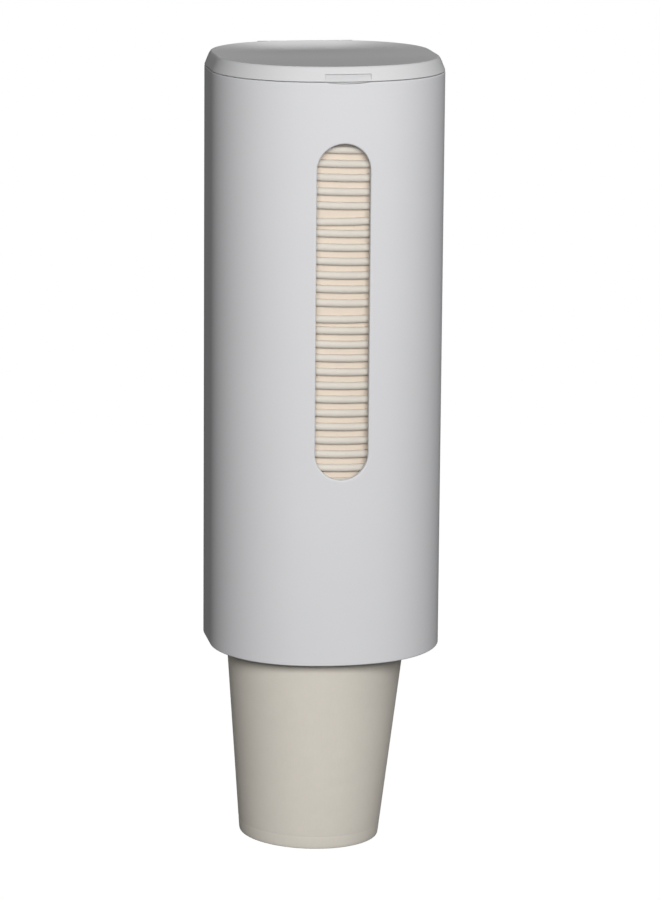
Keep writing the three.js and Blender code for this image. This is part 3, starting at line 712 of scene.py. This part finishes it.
def rounded_polygon(corners, rounding):
    """A convex polygon's outline with its corners cut to arcs, as quadratic curves between points a
    rounding away from each corner."""
    corners = np.array(corners, float)
    before = np.roll(corners, 1, axis=0)
    after = np.roll(corners, -1, axis=0)
    to_before = (before - corners) / np.linalg.norm(before - corners, axis=1, keepdims=True)
    to_after = (after - corners) / np.linalg.norm(after - corners, axis=1, keepdims=True)
    share = np.linspace(0, 1, ROUNDING_STEPS + 1)[None, :, None]
    start = (corners + to_before * rounding)[:, None]
    end = (corners + to_after * rounding)[:, None]
    curve = (1 - share) ** 2 * start + 2 * share * (1 - share) * corners[:, None] + share**2 * end
    return curve.reshape(-1, 2)


def back_surface_at(x):
    """Y of the housing's back at a distance from its middle, on the flat or the corner's arc."""
    return BACK_Y + math.sqrt(BACK_CORNER_RADIUS**2 - max(0.0, abs(x) - BACK_X) ** 2)


def housing_hinge_parts():
    """Three knuckles behind the housing's top edge, each on a post over a web that starts inside the
    back wall."""
    parts = []
    back, front = HINGE_Y + KNUCKLE_RADIUS, HINGE_Y - KNUCKLE_RADIUS
    shelf = HOUSING_HEIGHT - (HINGE_Z - HOUSING_HEIGHT) / 2
    post_low = shelf - POST_INTO_WEB
    post_top = HINGE_Z - POST_BELOW_AXIS
    for low, high in HOUSING_KNUCKLES:
        parts.append(sleeve_part(low, high, (HINGE_Y, HINGE_Z)))
        inside = back_surface_at(max(abs(low), abs(high))) - WEB_INTO_WALL
        web = [(inside, WEB_LOW), (BACK_FACE, WEB_LOW), (back, shelf), (inside, shelf)]
        post = [(front, post_low), (back, shelf), (back, post_top), (front, post_top)]
        for corners in (web, post):
            outline = rounded_polygon(corners, WEB_CORNER)
            parts.append(rounded_bar(outline, low, high, WEB_ROUNDING, 0))
    return parts


def lid_hinge_parts():
    """Two knuckles on short arms that run out of the lid's back flank."""
    parts = []
    back = HINGE_Y - ARM_BEFORE_AXIS
    corners = [(ARM_FRONT, LID_SEAT), (back, LID_SEAT), (back, ARM_TOP), (ARM_FRONT, ARM_TOP)]
    arm = rounded_polygon(corners, ARM_CORNER)
    for low, high in LID_KNUCKLES:
        parts.append(sleeve_part(low, high, (HINGE_Y, HINGE_Z)))
        parts.append(rounded_bar(arm, low, high, ARM_ROUNDING, 0))
    return parts


def cup_profile(lines):
    """(radius, height) of a cup from the middle of its base underneath, round the folded foot, up the
    tapered wall with the faint groove where the base is crimped, round the rolled rim, and down the
    inside to the middle of the floor."""
    curl = FOOT_WALL / 2
    foot = arc((FOOT_RADIUS - curl, curl), curl, FOOT_CURL_FROM, FOOT_CURL_TO, FOOT_CURL_STEPS)
    upper_rows = np.linspace(WALL_ROWS_FROM, BODY_HEIGHT - WALL_ROWS_UNDER_TOP, lines["wall"])
    wall_height = np.concatenate([[WALL_FIRST_ROW], CRIMP_HEIGHT + CRIMP_ROWS, upper_rows])
    groove = CRIMP_DEPTH * np.exp(-(((wall_height - CRIMP_HEIGHT) / CRIMP_WIDTH) ** 2))
    wall = np.stack([FOOT_RADIUS + wall_height * CUP_SLOPE - groove, wall_height], -1)
    roll_centre = (RIM_RADIUS - ROLL_RADIUS, CUP_HEIGHT - ROLL_RADIUS)
    roll = arc(roll_centre, ROLL_RADIUS, ROLL_FROM, ROLL_TO, lines["roll"])
    floor = FOOT_RECESS + BASE_DISC
    inner_height = np.concatenate([CUP_HEIGHT - INSIDE_UNDER_RIM, INSIDE_ROWS, [floor + BASE_FILLET]])
    inner = np.stack([FOOT_RADIUS + inner_height * CUP_SLOPE - CUP_WALL, inner_height], -1)
    floor_edge = FOOT_RADIUS + floor * CUP_SLOPE - CUP_WALL - BASE_FILLET
    recess_edge = FOOT_RADIUS - FOOT_WALL
    under = [[radius, FOOT_RECESS] for radius in (0.0, *BASE_RINGS, recess_edge - BASE_FILLET)]
    over = [[radius, floor] for radius in (floor_edge, *BASE_RINGS[::-1], 0.0)]
    fillet = [[recess_edge, FOOT_RECESS - BASE_FILLET]]
    return np.concatenate([under, fillet, foot, wall, roll, inner, over])


def seam_bulge(profile, angles, seam):
    """How far a cup's wall stands out along its lapped seam: by SEAM_PROUD from a sharp step at the
    seam's angle, fading out over the lap."""
    from_seam = (angles - seam + SEAM_EDGE) % (2 * np.pi) - SEAM_EDGE
    step = smoothstep(from_seam, -SEAM_EDGE, SEAM_EDGE)
    proud = step * (1 - smoothstep(from_seam, SEAM_EDGE, SEAM_LAP))
    on_wall = (profile[:, 1] > SEAM_LOW) & (profile[:, 0] > FOOT_RADIUS)
    on_wall[np.argmax(profile[:, 0]) + SEAM_ROWS_PAST_WIDEST:] = False
    return SEAM_PROUD * on_wall[:, None] * proud[None, :]


def leaning(points):
    """Points about an upright axis, turned about Y onto the stack's leaning axis."""
    x, y, z = np.moveaxis(points, -1, 0)
    right = x * math.cos(STACK_LEAN) + z * math.sin(STACK_LEAN)
    up = z * math.cos(STACK_LEAN) - x * math.sin(STACK_LEAN)
    return np.stack([right, y, up], -1) + STACK_POINT


def cup_part(foot, lines, seam, lift=0.0, tilt=0.0):
    """A cup with its foot at a height on the stack's axis: its profile turned about that axis, wider
    along the seam. Its rim may be lifted, and tilted up on the right, which fades out down the wall."""
    profile = cup_profile(lines)
    marks = seam + np.array([-SEAM_EDGE, SEAM_EDGE, SEAM_LAP])
    angles = np.sort(np.concatenate([turn_angles(lines["round"]), marks % (2 * np.pi)]))
    points = revolved(profile, angles)
    grow = 1 + seam_bulge(profile, angles, seam) / BODY_TOP_RADIUS
    points[..., :2] *= grow[..., None]
    roll_low = CUP_HEIGHT - 2 * ROLL_RADIUS
    near_rim = smoothstep(points[..., 2], CUP_HEIGHT - UNEVEN_DEPTH, roll_low)
    points[..., 2] += near_rim * (lift + tilt * points[..., 0] / RIM_RADIUS)
    points[..., 2] += foot
    return grid_part(leaning(points), close_columns=True)


def boss_rib(place):
    """A rib from a boss out to the corner's wall, at 45 degrees to the sides."""
    out = np.array([math.copysign(math.sqrt(0.5), place[0]), math.sqrt(0.5)])
    across = np.array([-out[1], out[0]]) * RIB_HALF_WIDTH
    near, far = place + out * RIB_FROM, place + out * RIB_TO
    outline = rounded_polygon([near - across, far - across, far + across, near + across], RIB_CORNER)
    return rounded_bar(outline, BOSS_LOW, BOSS_HIGH, RIB_ROUNDING, 2)


def boss_parts():
    """Two screw bosses, each a blind tube turned from its outline, and a rib."""
    top, low = BOSS_TOP_ROUNDING, BOSS_LOW_ROUNDING
    outline = np.concatenate([
        [[0.0, BOSS_HIGH], [BOSS_RADIUS - top - BOSS_SUPPORT, BOSS_HIGH]],
        arc((BOSS_RADIUS - top, BOSS_HIGH - top), top, 90, 0, ROUNDING_STEPS),
        arc((BOSS_RADIUS - low, BOSS_LOW + low), low, 0, -90, ROUNDING_STEPS),
        [[BOSS_BORE + BORE_CHAMFER, BOSS_LOW], [BOSS_BORE, BOSS_LOW + BORE_CHAMFER]],
        [[BOSS_BORE, BOSS_BORE_TOP], [0.0, BOSS_BORE_TOP]],
    ])
    turned = revolved(outline, turn_angles(BOSS_FACES))
    parts = []
    for x, y in BOSS_PLACES:
        parts.append(grid_part(turned + np.array([x, y, 0.0]), close_columns=True))
        parts.append(boss_rib(np.array([x, y])))
    return parts


def bead_parts():
    """Two low beads across the inside of the front wall that hold the ring's edge between them: a
    half ellipse that sinks into the wall towards both ends as sqrt(1 - x^8)."""
    parts = []
    root = HOUSING_WALL - BEAD_ROOT
    angles = np.linspace(-QUARTER, QUARTER, BEAD_FACES + 1)
    along = np.linspace(-BEAD_HALF_LENGTH, BEAD_HALF_LENGTH, BEAD_STATIONS + 1)
    fade = np.sqrt(np.clip(1 - (along / BEAD_HALF_LENGTH) ** BEAD_END_POWER, 0.0, 1.0))
    for low, high in BEADS:
        middle, half = (low + high) / 2, (high - low) / 2
        round_side = np.stack(
            [HOUSING_WALL + BEAD_PROUD * np.cos(angles), middle + half * np.sin(angles)], -1
        )
        section = np.concatenate([[[root, low]], round_side, [[root, high]]])
        depth = root + (section[:, 0, None] - root) * fade
        height = middle + (section[:, 1, None] - middle) * fade
        parts.append(grid_part(section_surface(along, depth, height), close_rows=True))
    return parts


def add_node(tree, kind, **values):
    """A new node of a tree with its own values set."""
    node = tree.nodes.new(kind)
    for name, value in values.items():
        setattr(node, name, value)
    return node


def feed(tree, source, target):
    """A link from an output to an input."""
    tree.links.new(source, target)


def calculated(tree, operation, first, second, third=None):
    """A Math node whose inputs are sockets or numbers."""
    node = add_node(tree, "ShaderNodeMath", operation=operation)
    for value, socket in zip((first, second, third), node.inputs):
        if value is None:
            continue
        if isinstance(value, (int, float)):
            socket.default_value = value
        else:
            feed(tree, value, socket)
    return node.outputs[0]


def noise(tree, vector, scale, detail, roughness):
    """A noise pattern whose scale is a socket or a number."""
    node = add_node(tree, "ShaderNodeTexNoise")
    feed(tree, vector, node.inputs["Vector"])
    if isinstance(scale, (int, float)):
        node.inputs["Scale"].default_value = scale
    else:
        feed(tree, scale, node.inputs["Scale"])
    node.inputs["Detail"].default_value = detail
    node.inputs["Roughness"].default_value = roughness
    return node.outputs[0]


def brightened(tree, colour, factor):
    """A colour times a brightness."""
    node = add_node(tree, "ShaderNodeVectorMath", operation="SCALE")
    feed(tree, colour, node.inputs[0])
    feed(tree, factor, node.inputs["Scale"])
    return node.outputs[0]


def new_group(name, inputs, outputs):
    """A shader node group with its input and output nodes."""
    group = bpy.data.node_groups.new(name, "ShaderNodeTree")
    for label, kind, value in inputs:
        socket = group.interface.new_socket(label, in_out="INPUT", socket_type=kind)
        socket.default_value = value
    for label, kind in outputs:
        group.interface.new_socket(label, in_out="OUTPUT", socket_type=kind)
    return group, add_node(group, "NodeGroupInput"), add_node(group, "NodeGroupOutput")


def moulded_surface_group():
    """Injection-moulded plastic: clouds of slightly lighter and darker, glossier and duller surface,
    and a fine grain in relief."""
    group, start, end = new_group(
        "moulded_surface",
        [
            ("Colour", "NodeSocketColor", (0.7, 0.7, 0.7, 1.0)),
            ("Cloudiness", "NodeSocketFloat", 0.03),
            ("Cloud Scale", "NodeSocketFloat", 30.0),
            ("Grain Scale", "NodeSocketFloat", 1600.0),
            ("Roughness", "NodeSocketFloat", 0.45),
        ],
        [("Colour", "NodeSocketColor"), ("Roughness", "NodeSocketFloat"), ("Height", "NodeSocketFloat")],
    )
    place = add_node(group, "ShaderNodeTexCoord").outputs["Object"]
    cloud = noise(group, place, start.outputs["Cloud Scale"], detail=4.0, roughness=0.55)
    grain = noise(group, place, start.outputs["Grain Scale"], detail=2.0, roughness=0.5)
    offset = calculated(group, "SUBTRACT", cloud, NOISE_MIDDLE)
    shade = calculated(group, "MULTIPLY_ADD", offset, start.outputs["Cloudiness"], 1.0)
    feed(group, brightened(group, start.outputs["Colour"], shade), end.inputs["Colour"])
    sheen = calculated(group, "MULTIPLY_ADD", offset, CLOUD_SHEEN, start.outputs["Roughness"])
    feed(group, calculated(group, "MULTIPLY_ADD", grain, GRAIN_SHEEN, sheen), end.inputs["Roughness"])
    feed(group, calculated(group, "MULTIPLY_ADD", cloud, CLOUD_RELIEF, grain), end.inputs["Height"])
    return group


def rim_share(tree, place):
    """1 on the cups' rolled rims, which reach further from the stack's axis than any wall does: the
    distance of a place from the leaning axis, smoothly cut off between two values."""
    upright = add_node(tree, "ShaderNodeMapping", vector_type="TEXTURE")
    feed(tree, place, upright.inputs["Vector"])
    upright.inputs["Location"].default_value = ((STACK_POINT - FRAME_ORIGIN) * MM).tolist()
    upright.inputs["Rotation"].default_value = (0.0, STACK_LEAN, 0.0)
    level = add_node(tree, "ShaderNodeVectorMath", operation="MULTIPLY")
    feed(tree, upright.outputs[0], level.inputs[0])
    level.inputs[1].default_value = (1.0, 1.0, 0.0)
    reach = add_node(tree, "ShaderNodeVectorMath", operation="LENGTH")
    feed(tree, level.outputs[0], reach.inputs[0])
    rising = add_node(tree, "ShaderNodeMapRange", interpolation_type="SMOOTHSTEP")
    feed(tree, reach.outputs["Value"], rising.inputs["Value"])
    rising.inputs["From Min"].default_value = (BODY_TOP_RADIUS + RIM_COLOUR_FROM) * MM
    rising.inputs["From Max"].default_value = (BODY_TOP_RADIUS + RIM_COLOUR_FULL) * MM
    return rising.outputs[0]


def paper_surface_group():
    """Cup paper: fibres drawn out along the cup's height, an uneven cloudy look, a soft relief, and
    a colour of its own on the rolled rims, so that the walls under them can be painted warmer for bounce
    light."""
    group, start, end = new_group(
        "paper_surface",
        [
            ("Colour", "NodeSocketColor", (0.7, 0.68, 0.62, 1.0)),
            ("Rim Colour", "NodeSocketColor", (0.7, 0.66, 0.58, 1.0)),
            ("Cloudiness", "NodeSocketFloat", 0.06),
            ("Fibre Scale", "NodeSocketFloat", 1100.0),
        ],
        [("Colour", "NodeSocketColor"), ("Roughness", "NodeSocketFloat"), ("Height", "NodeSocketFloat")],
    )
    place = add_node(group, "ShaderNodeTexCoord").outputs["Object"]
    drawn = add_node(group, "ShaderNodeMapping")
    feed(group, place, drawn.inputs["Vector"])
    drawn.inputs["Scale"].default_value = (1.0, 1.0, FIBRE_SQUEEZE)
    fibre = noise(group, drawn.outputs[0], start.outputs["Fibre Scale"], detail=3.0, roughness=0.6)
    cloud = noise(group, place, PAPER_CLOUD_SCALE, detail=3.0, roughness=0.5)
    fibre_offset = calculated(group, "SUBTRACT", fibre, NOISE_MIDDLE)
    cloud_offset = calculated(group, "SUBTRACT", cloud, NOISE_MIDDLE)
    both = calculated(group, "MULTIPLY_ADD", fibre_offset, FIBRE_SHARE, cloud_offset)
    shade = calculated(group, "MULTIPLY_ADD", both, start.outputs["Cloudiness"], 1.0)
    face = add_node(group, "ShaderNodeMix", data_type="RGBA")
    feed(group, rim_share(group, place), face.inputs[MIX_SHARE])
    feed(group, start.outputs["Colour"], face.inputs[MIX_FIRST])
    feed(group, start.outputs["Rim Colour"], face.inputs[MIX_SECOND])
    feed(group, brightened(group, face.outputs[MIXED], shade), end.inputs["Colour"])
    sheen = calculated(group, "MULTIPLY_ADD", both, PAPER_SHEEN, PAPER_ROUGHNESS)
    feed(group, sheen, end.inputs["Roughness"])
    feed(group, fibre, end.inputs["Height"])
    return group


def surfaced_material(name, group, values, relief, gloss=0.5, metallic=0.0):
    """A material whose colour, roughness and relief come from a surface group. relief is the height
    of the bumps in metres, and gloss how strongly the surface mirrors, 0.5 being plain plastic."""
    material = bpy.data.materials.new(name)
    material.use_nodes = True
    tree = material.node_tree
    shader = tree.nodes["Principled BSDF"]
    shader.inputs["Specular IOR Level"].default_value = gloss
    shader.inputs["Metallic"].default_value = metallic
    surface = add_node(tree, "ShaderNodeGroup", node_tree=group)
    for label, value in values.items():
        surface.inputs[label].default_value = value
    feed(tree, surface.outputs["Colour"], shader.inputs["Base Color"])
    feed(tree, surface.outputs["Roughness"], shader.inputs["Roughness"])
    bump = add_node(tree, "ShaderNodeBump")
    bump.inputs["Strength"].default_value = 1.0
    bump.inputs["Distance"].default_value = relief
    feed(tree, surface.outputs["Height"], bump.inputs["Height"])
    feed(tree, bump.outputs["Normal"], shader.inputs["Normal"])
    return material


def painted_colour(red, green, blue):
    """A linear colour from its written value on a screen, 0 to 255, by the sRGB curve."""
    shares = np.array([red, green, blue]) / 255
    linear = np.where(shares <= 0.04045, shares / 12.92, ((shares + 0.055) / 1.055) ** 2.4)
    return (*linear.tolist(), 1.0)


moulded = moulded_surface_group()
paper = paper_surface_group()

housing_plastic = surfaced_material(
    "housing_plastic", moulded,
    {"Colour": painted_colour(217, 217, 219), "Cloudiness": 0.035, "Roughness": 0.46},
    relief=0.000004, gloss=0.0,
)
lid_plastic = surfaced_material(
    "lid_plastic", moulded,
    {"Colour": painted_colour(214, 214, 215), "Cloudiness": 0.03, "Roughness": 0.42},
    relief=0.000003, gloss=0.0,
)
inner_plastic = surfaced_material(
    "inner_plastic", moulded,
    {"Colour": painted_colour(203, 204, 206), "Cloudiness": 0.05, "Grain Scale": 1100.0, "Roughness": 0.55},
    relief=0.00001, gloss=0.04,
)
finger_plastic = surfaced_material(
    "finger_plastic", moulded,
    {"Colour": painted_colour(236, 234, 228), "Cloudiness": 0.05, "Roughness": 0.5},
    relief=0.000005, gloss=0.06,
)
zinc_steel = surfaced_material(
    "zinc_steel", moulded,
    {"Colour": painted_colour(186, 189, 193), "Cloudiness": 0.25, "Cloud Scale": 420.0, "Roughness": 0.32},
    relief=0.000006, metallic=1.0,
)
cup_paper = surfaced_material(
    "cup_paper", paper,
    {"Colour": painted_colour(224, 218, 207), "Rim Colour": painted_colour(224, 218, 207)},
    relief=0.00001, gloss=0.05,
)
# Behind the window the walls between the rims are painted warmer: bounce light between the nested paper
painted_bounce_paper = surfaced_material(
    "painted_bounce_paper", paper,
    {"Colour": painted_colour(226, 213, 198), "Rim Colour": painted_colour(222, 216, 206)},
    relief=0.00001, gloss=0.05,
)

piece("housing_shell", housing_parts(), "housing", housing_plastic, ["housing"])
piece("housing_hinge", housing_hinge_parts(), "housing", housing_plastic)
piece("housing_bosses", boss_parts(), "housing", housing_plastic)
piece("housing_beads", bead_parts(), "housing", housing_plastic)
piece("lid_shell", lid_parts(), "lid", lid_plastic, ["lid"])
piece("lid_hinge", lid_hinge_parts(), "lid", lid_plastic)
piece(
    "lowest_cup", [cup_part(HANGING_FOOT, HANGING_CUP_LINES, FIRST_SEAM)],
    "hanging_cup", cup_paper, ["hanging_cup"],
)
for number in range(1, STACKED_CUPS + 1):
    foot = HANGING_FOOT + number * CUP_PITCH
    seam = FIRST_SEAM + number * SEAM_STEP
    cup = cup_part(foot, STACKED_CUP_LINES, seam, *UNEVEN_RIMS.get(number, ()))
    # Cups from the window up get walls painted warmer for the bounce light between the nested rims
    sheet = cup_paper if number < FIRST_CUP_IN_WINDOW else painted_bounce_paper
    piece(
        f"nested_cup_{number:02d}", [cup], "cup_stack", sheet,
        [f"stacked_cup_{number:02d}"],
    )


def dress_node(name, material):
    """A CAD node that stays gets its material on its object."""
    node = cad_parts[name]
    for own in node.material_slots:
        own.link = "OBJECT"
        own.material = material


dress_node("wall_bracket", inner_plastic)
dress_node("retainer_ring", inner_plastic)
for corner in ("back_right", "back_left", "front_left", "front_right"):
    dress_node(f"cup_finger_{corner}", finger_plastic)
for node in ("hinge_pin", "ring_screw_left", "ring_screw_right"):
    dress_node(node, zinc_steel)


def add_camera():
    """The photograph's camera: turned by yaw, pitch and roll at its place."""
    data = bpy.data.cameras.new("camera")
    data.sensor_width = CAMERA_SENSOR
    data.lens = CAMERA_LENS
    data.clip_end = CAMERA_REACH
    ahead = Vector((
        -math.sin(CAMERA_YAW) * math.cos(CAMERA_PITCH),
        math.cos(CAMERA_YAW) * math.cos(CAMERA_PITCH),
        -math.sin(CAMERA_PITCH),
    ))
    level = Vector((math.cos(CAMERA_YAW), math.sin(CAMERA_YAW), 0.0))
    upright = level.cross(ahead)
    right = level * math.cos(CAMERA_ROLL) + upright * math.sin(CAMERA_ROLL)
    up = upright * math.cos(CAMERA_ROLL) - level * math.sin(CAMERA_ROLL)
    turn = Matrix((right, up, -ahead)).transposed().to_4x4()
    camera = bpy.data.objects.new("camera", data)
    camera.matrix_world = Matrix.Translation(CAMERA_PLACE) @ turn
    bpy.context.scene.collection.objects.link(camera)
    bpy.context.scene.camera = camera


def add_soft_light(name, azimuth, elevation, distance, width, height, level):
    """An upright lamp of a width and height in metres that lights a white surface facing it at the
    object's middle to the given level, by a power of level times (pi times its distance) squared.
    Its azimuth runs from the front, -Y, towards +X, and its elevation upwards, in degrees."""
    turn, rise = math.radians(azimuth), math.radians(elevation)
    aim = -distance * Vector((
        math.sin(turn) * math.cos(rise), -math.cos(turn) * math.cos(rise), math.sin(rise),
    ))
    place = Vector(LIT_POINT) - aim
    data = bpy.data.lights.new(name, "AREA")
    data.shape = "RECTANGLE"
    data.size = width
    data.size_y = height
    data.energy = level * (math.pi * aim.length) ** 2
    lamp = bpy.data.objects.new(name, data)
    lamp.matrix_world = Matrix.Translation(place) @ aim.to_track_quat("-Z", "Y").to_matrix().to_4x4()
    bpy.context.scene.collection.objects.link(lamp)


def seen_directly(tree):
    """1 for what the camera sees, directly, in a reflection or through glass."""
    path = add_node(tree, "ShaderNodeLightPath")
    mirrored = calculated(
        tree, "MAXIMUM", path.outputs["Is Glossy Ray"], path.outputs["Is Transmission Ray"],
    )
    return calculated(tree, "MAXIMUM", path.outputs["Is Camera Ray"], mirrored)


def light_world():
    """A white world that shows white and lights the object weakly, at the ambient level."""
    world = bpy.data.worlds.new("world")
    world.use_nodes = True
    tree = world.node_tree
    sky = tree.nodes["Background"]
    sky.inputs["Color"].default_value = (1.0, 1.0, 1.0, 1.0)
    strength = calculated(tree, "MULTIPLY_ADD", seen_directly(tree), 1.0 - AMBIENT, AMBIENT)
    feed(tree, strength, sky.inputs["Strength"])
    bpy.context.scene.world = world


def add_floor():
    """A plain pale floor that shows nearly white and keeps the object's shadow."""
    across = np.linspace(-FLOOR_HALF_WIDTH, FLOOR_HALF_WIDTH, FLOOR_LINES)
    points = np.stack(np.broadcast_arrays(across[None, :], across[:, None], FLOOR_HEIGHT), -1)
    flat, quads = grid_part(points)
    mesh = bpy.data.meshes.new("floor")
    mesh.from_pydata(flat, [], quads)
    material = bpy.data.materials.new("floor")
    material.use_nodes = True
    tree = material.node_tree
    shader = tree.nodes["Principled BSDF"]
    shader.inputs["Base Color"].default_value = (FLOOR_GREY, FLOOR_GREY, FLOOR_GREY, 1.0)
    shader.inputs["Roughness"].default_value = FLOOR_ROUGHNESS
    shader.inputs["Specular IOR Level"].default_value = 0.0
    shader.inputs["Emission Strength"].default_value = FLOOR_GLOW
    glow = add_node(tree, "ShaderNodeCombineColor")
    seen = seen_directly(tree)
    for channel in glow.inputs:
        feed(tree, seen, channel)
    feed(tree, glow.outputs[0], shader.inputs["Emission Color"])
    mesh.materials.append(material)
    floor = bpy.data.objects.new("floor", mesh)
    bpy.context.scene.collection.objects.link(floor)


add_camera()
add_floor()
light_world()
add_soft_light(
    "key_light", azimuth=-6.0, elevation=17.5, distance=1.25, width=0.6, height=0.33, level=0.915,
)
add_soft_light(
    "top_light", azimuth=75.0, elevation=50.0, distance=1.2, width=0.6, height=0.6, level=0.17,
)
add_soft_light(
    "back_light", azimuth=176.0, elevation=6.0, distance=1.6, width=0.5, height=0.5, level=0.5,
)

bpy.context.scene.view_settings.view_transform = "Standard"
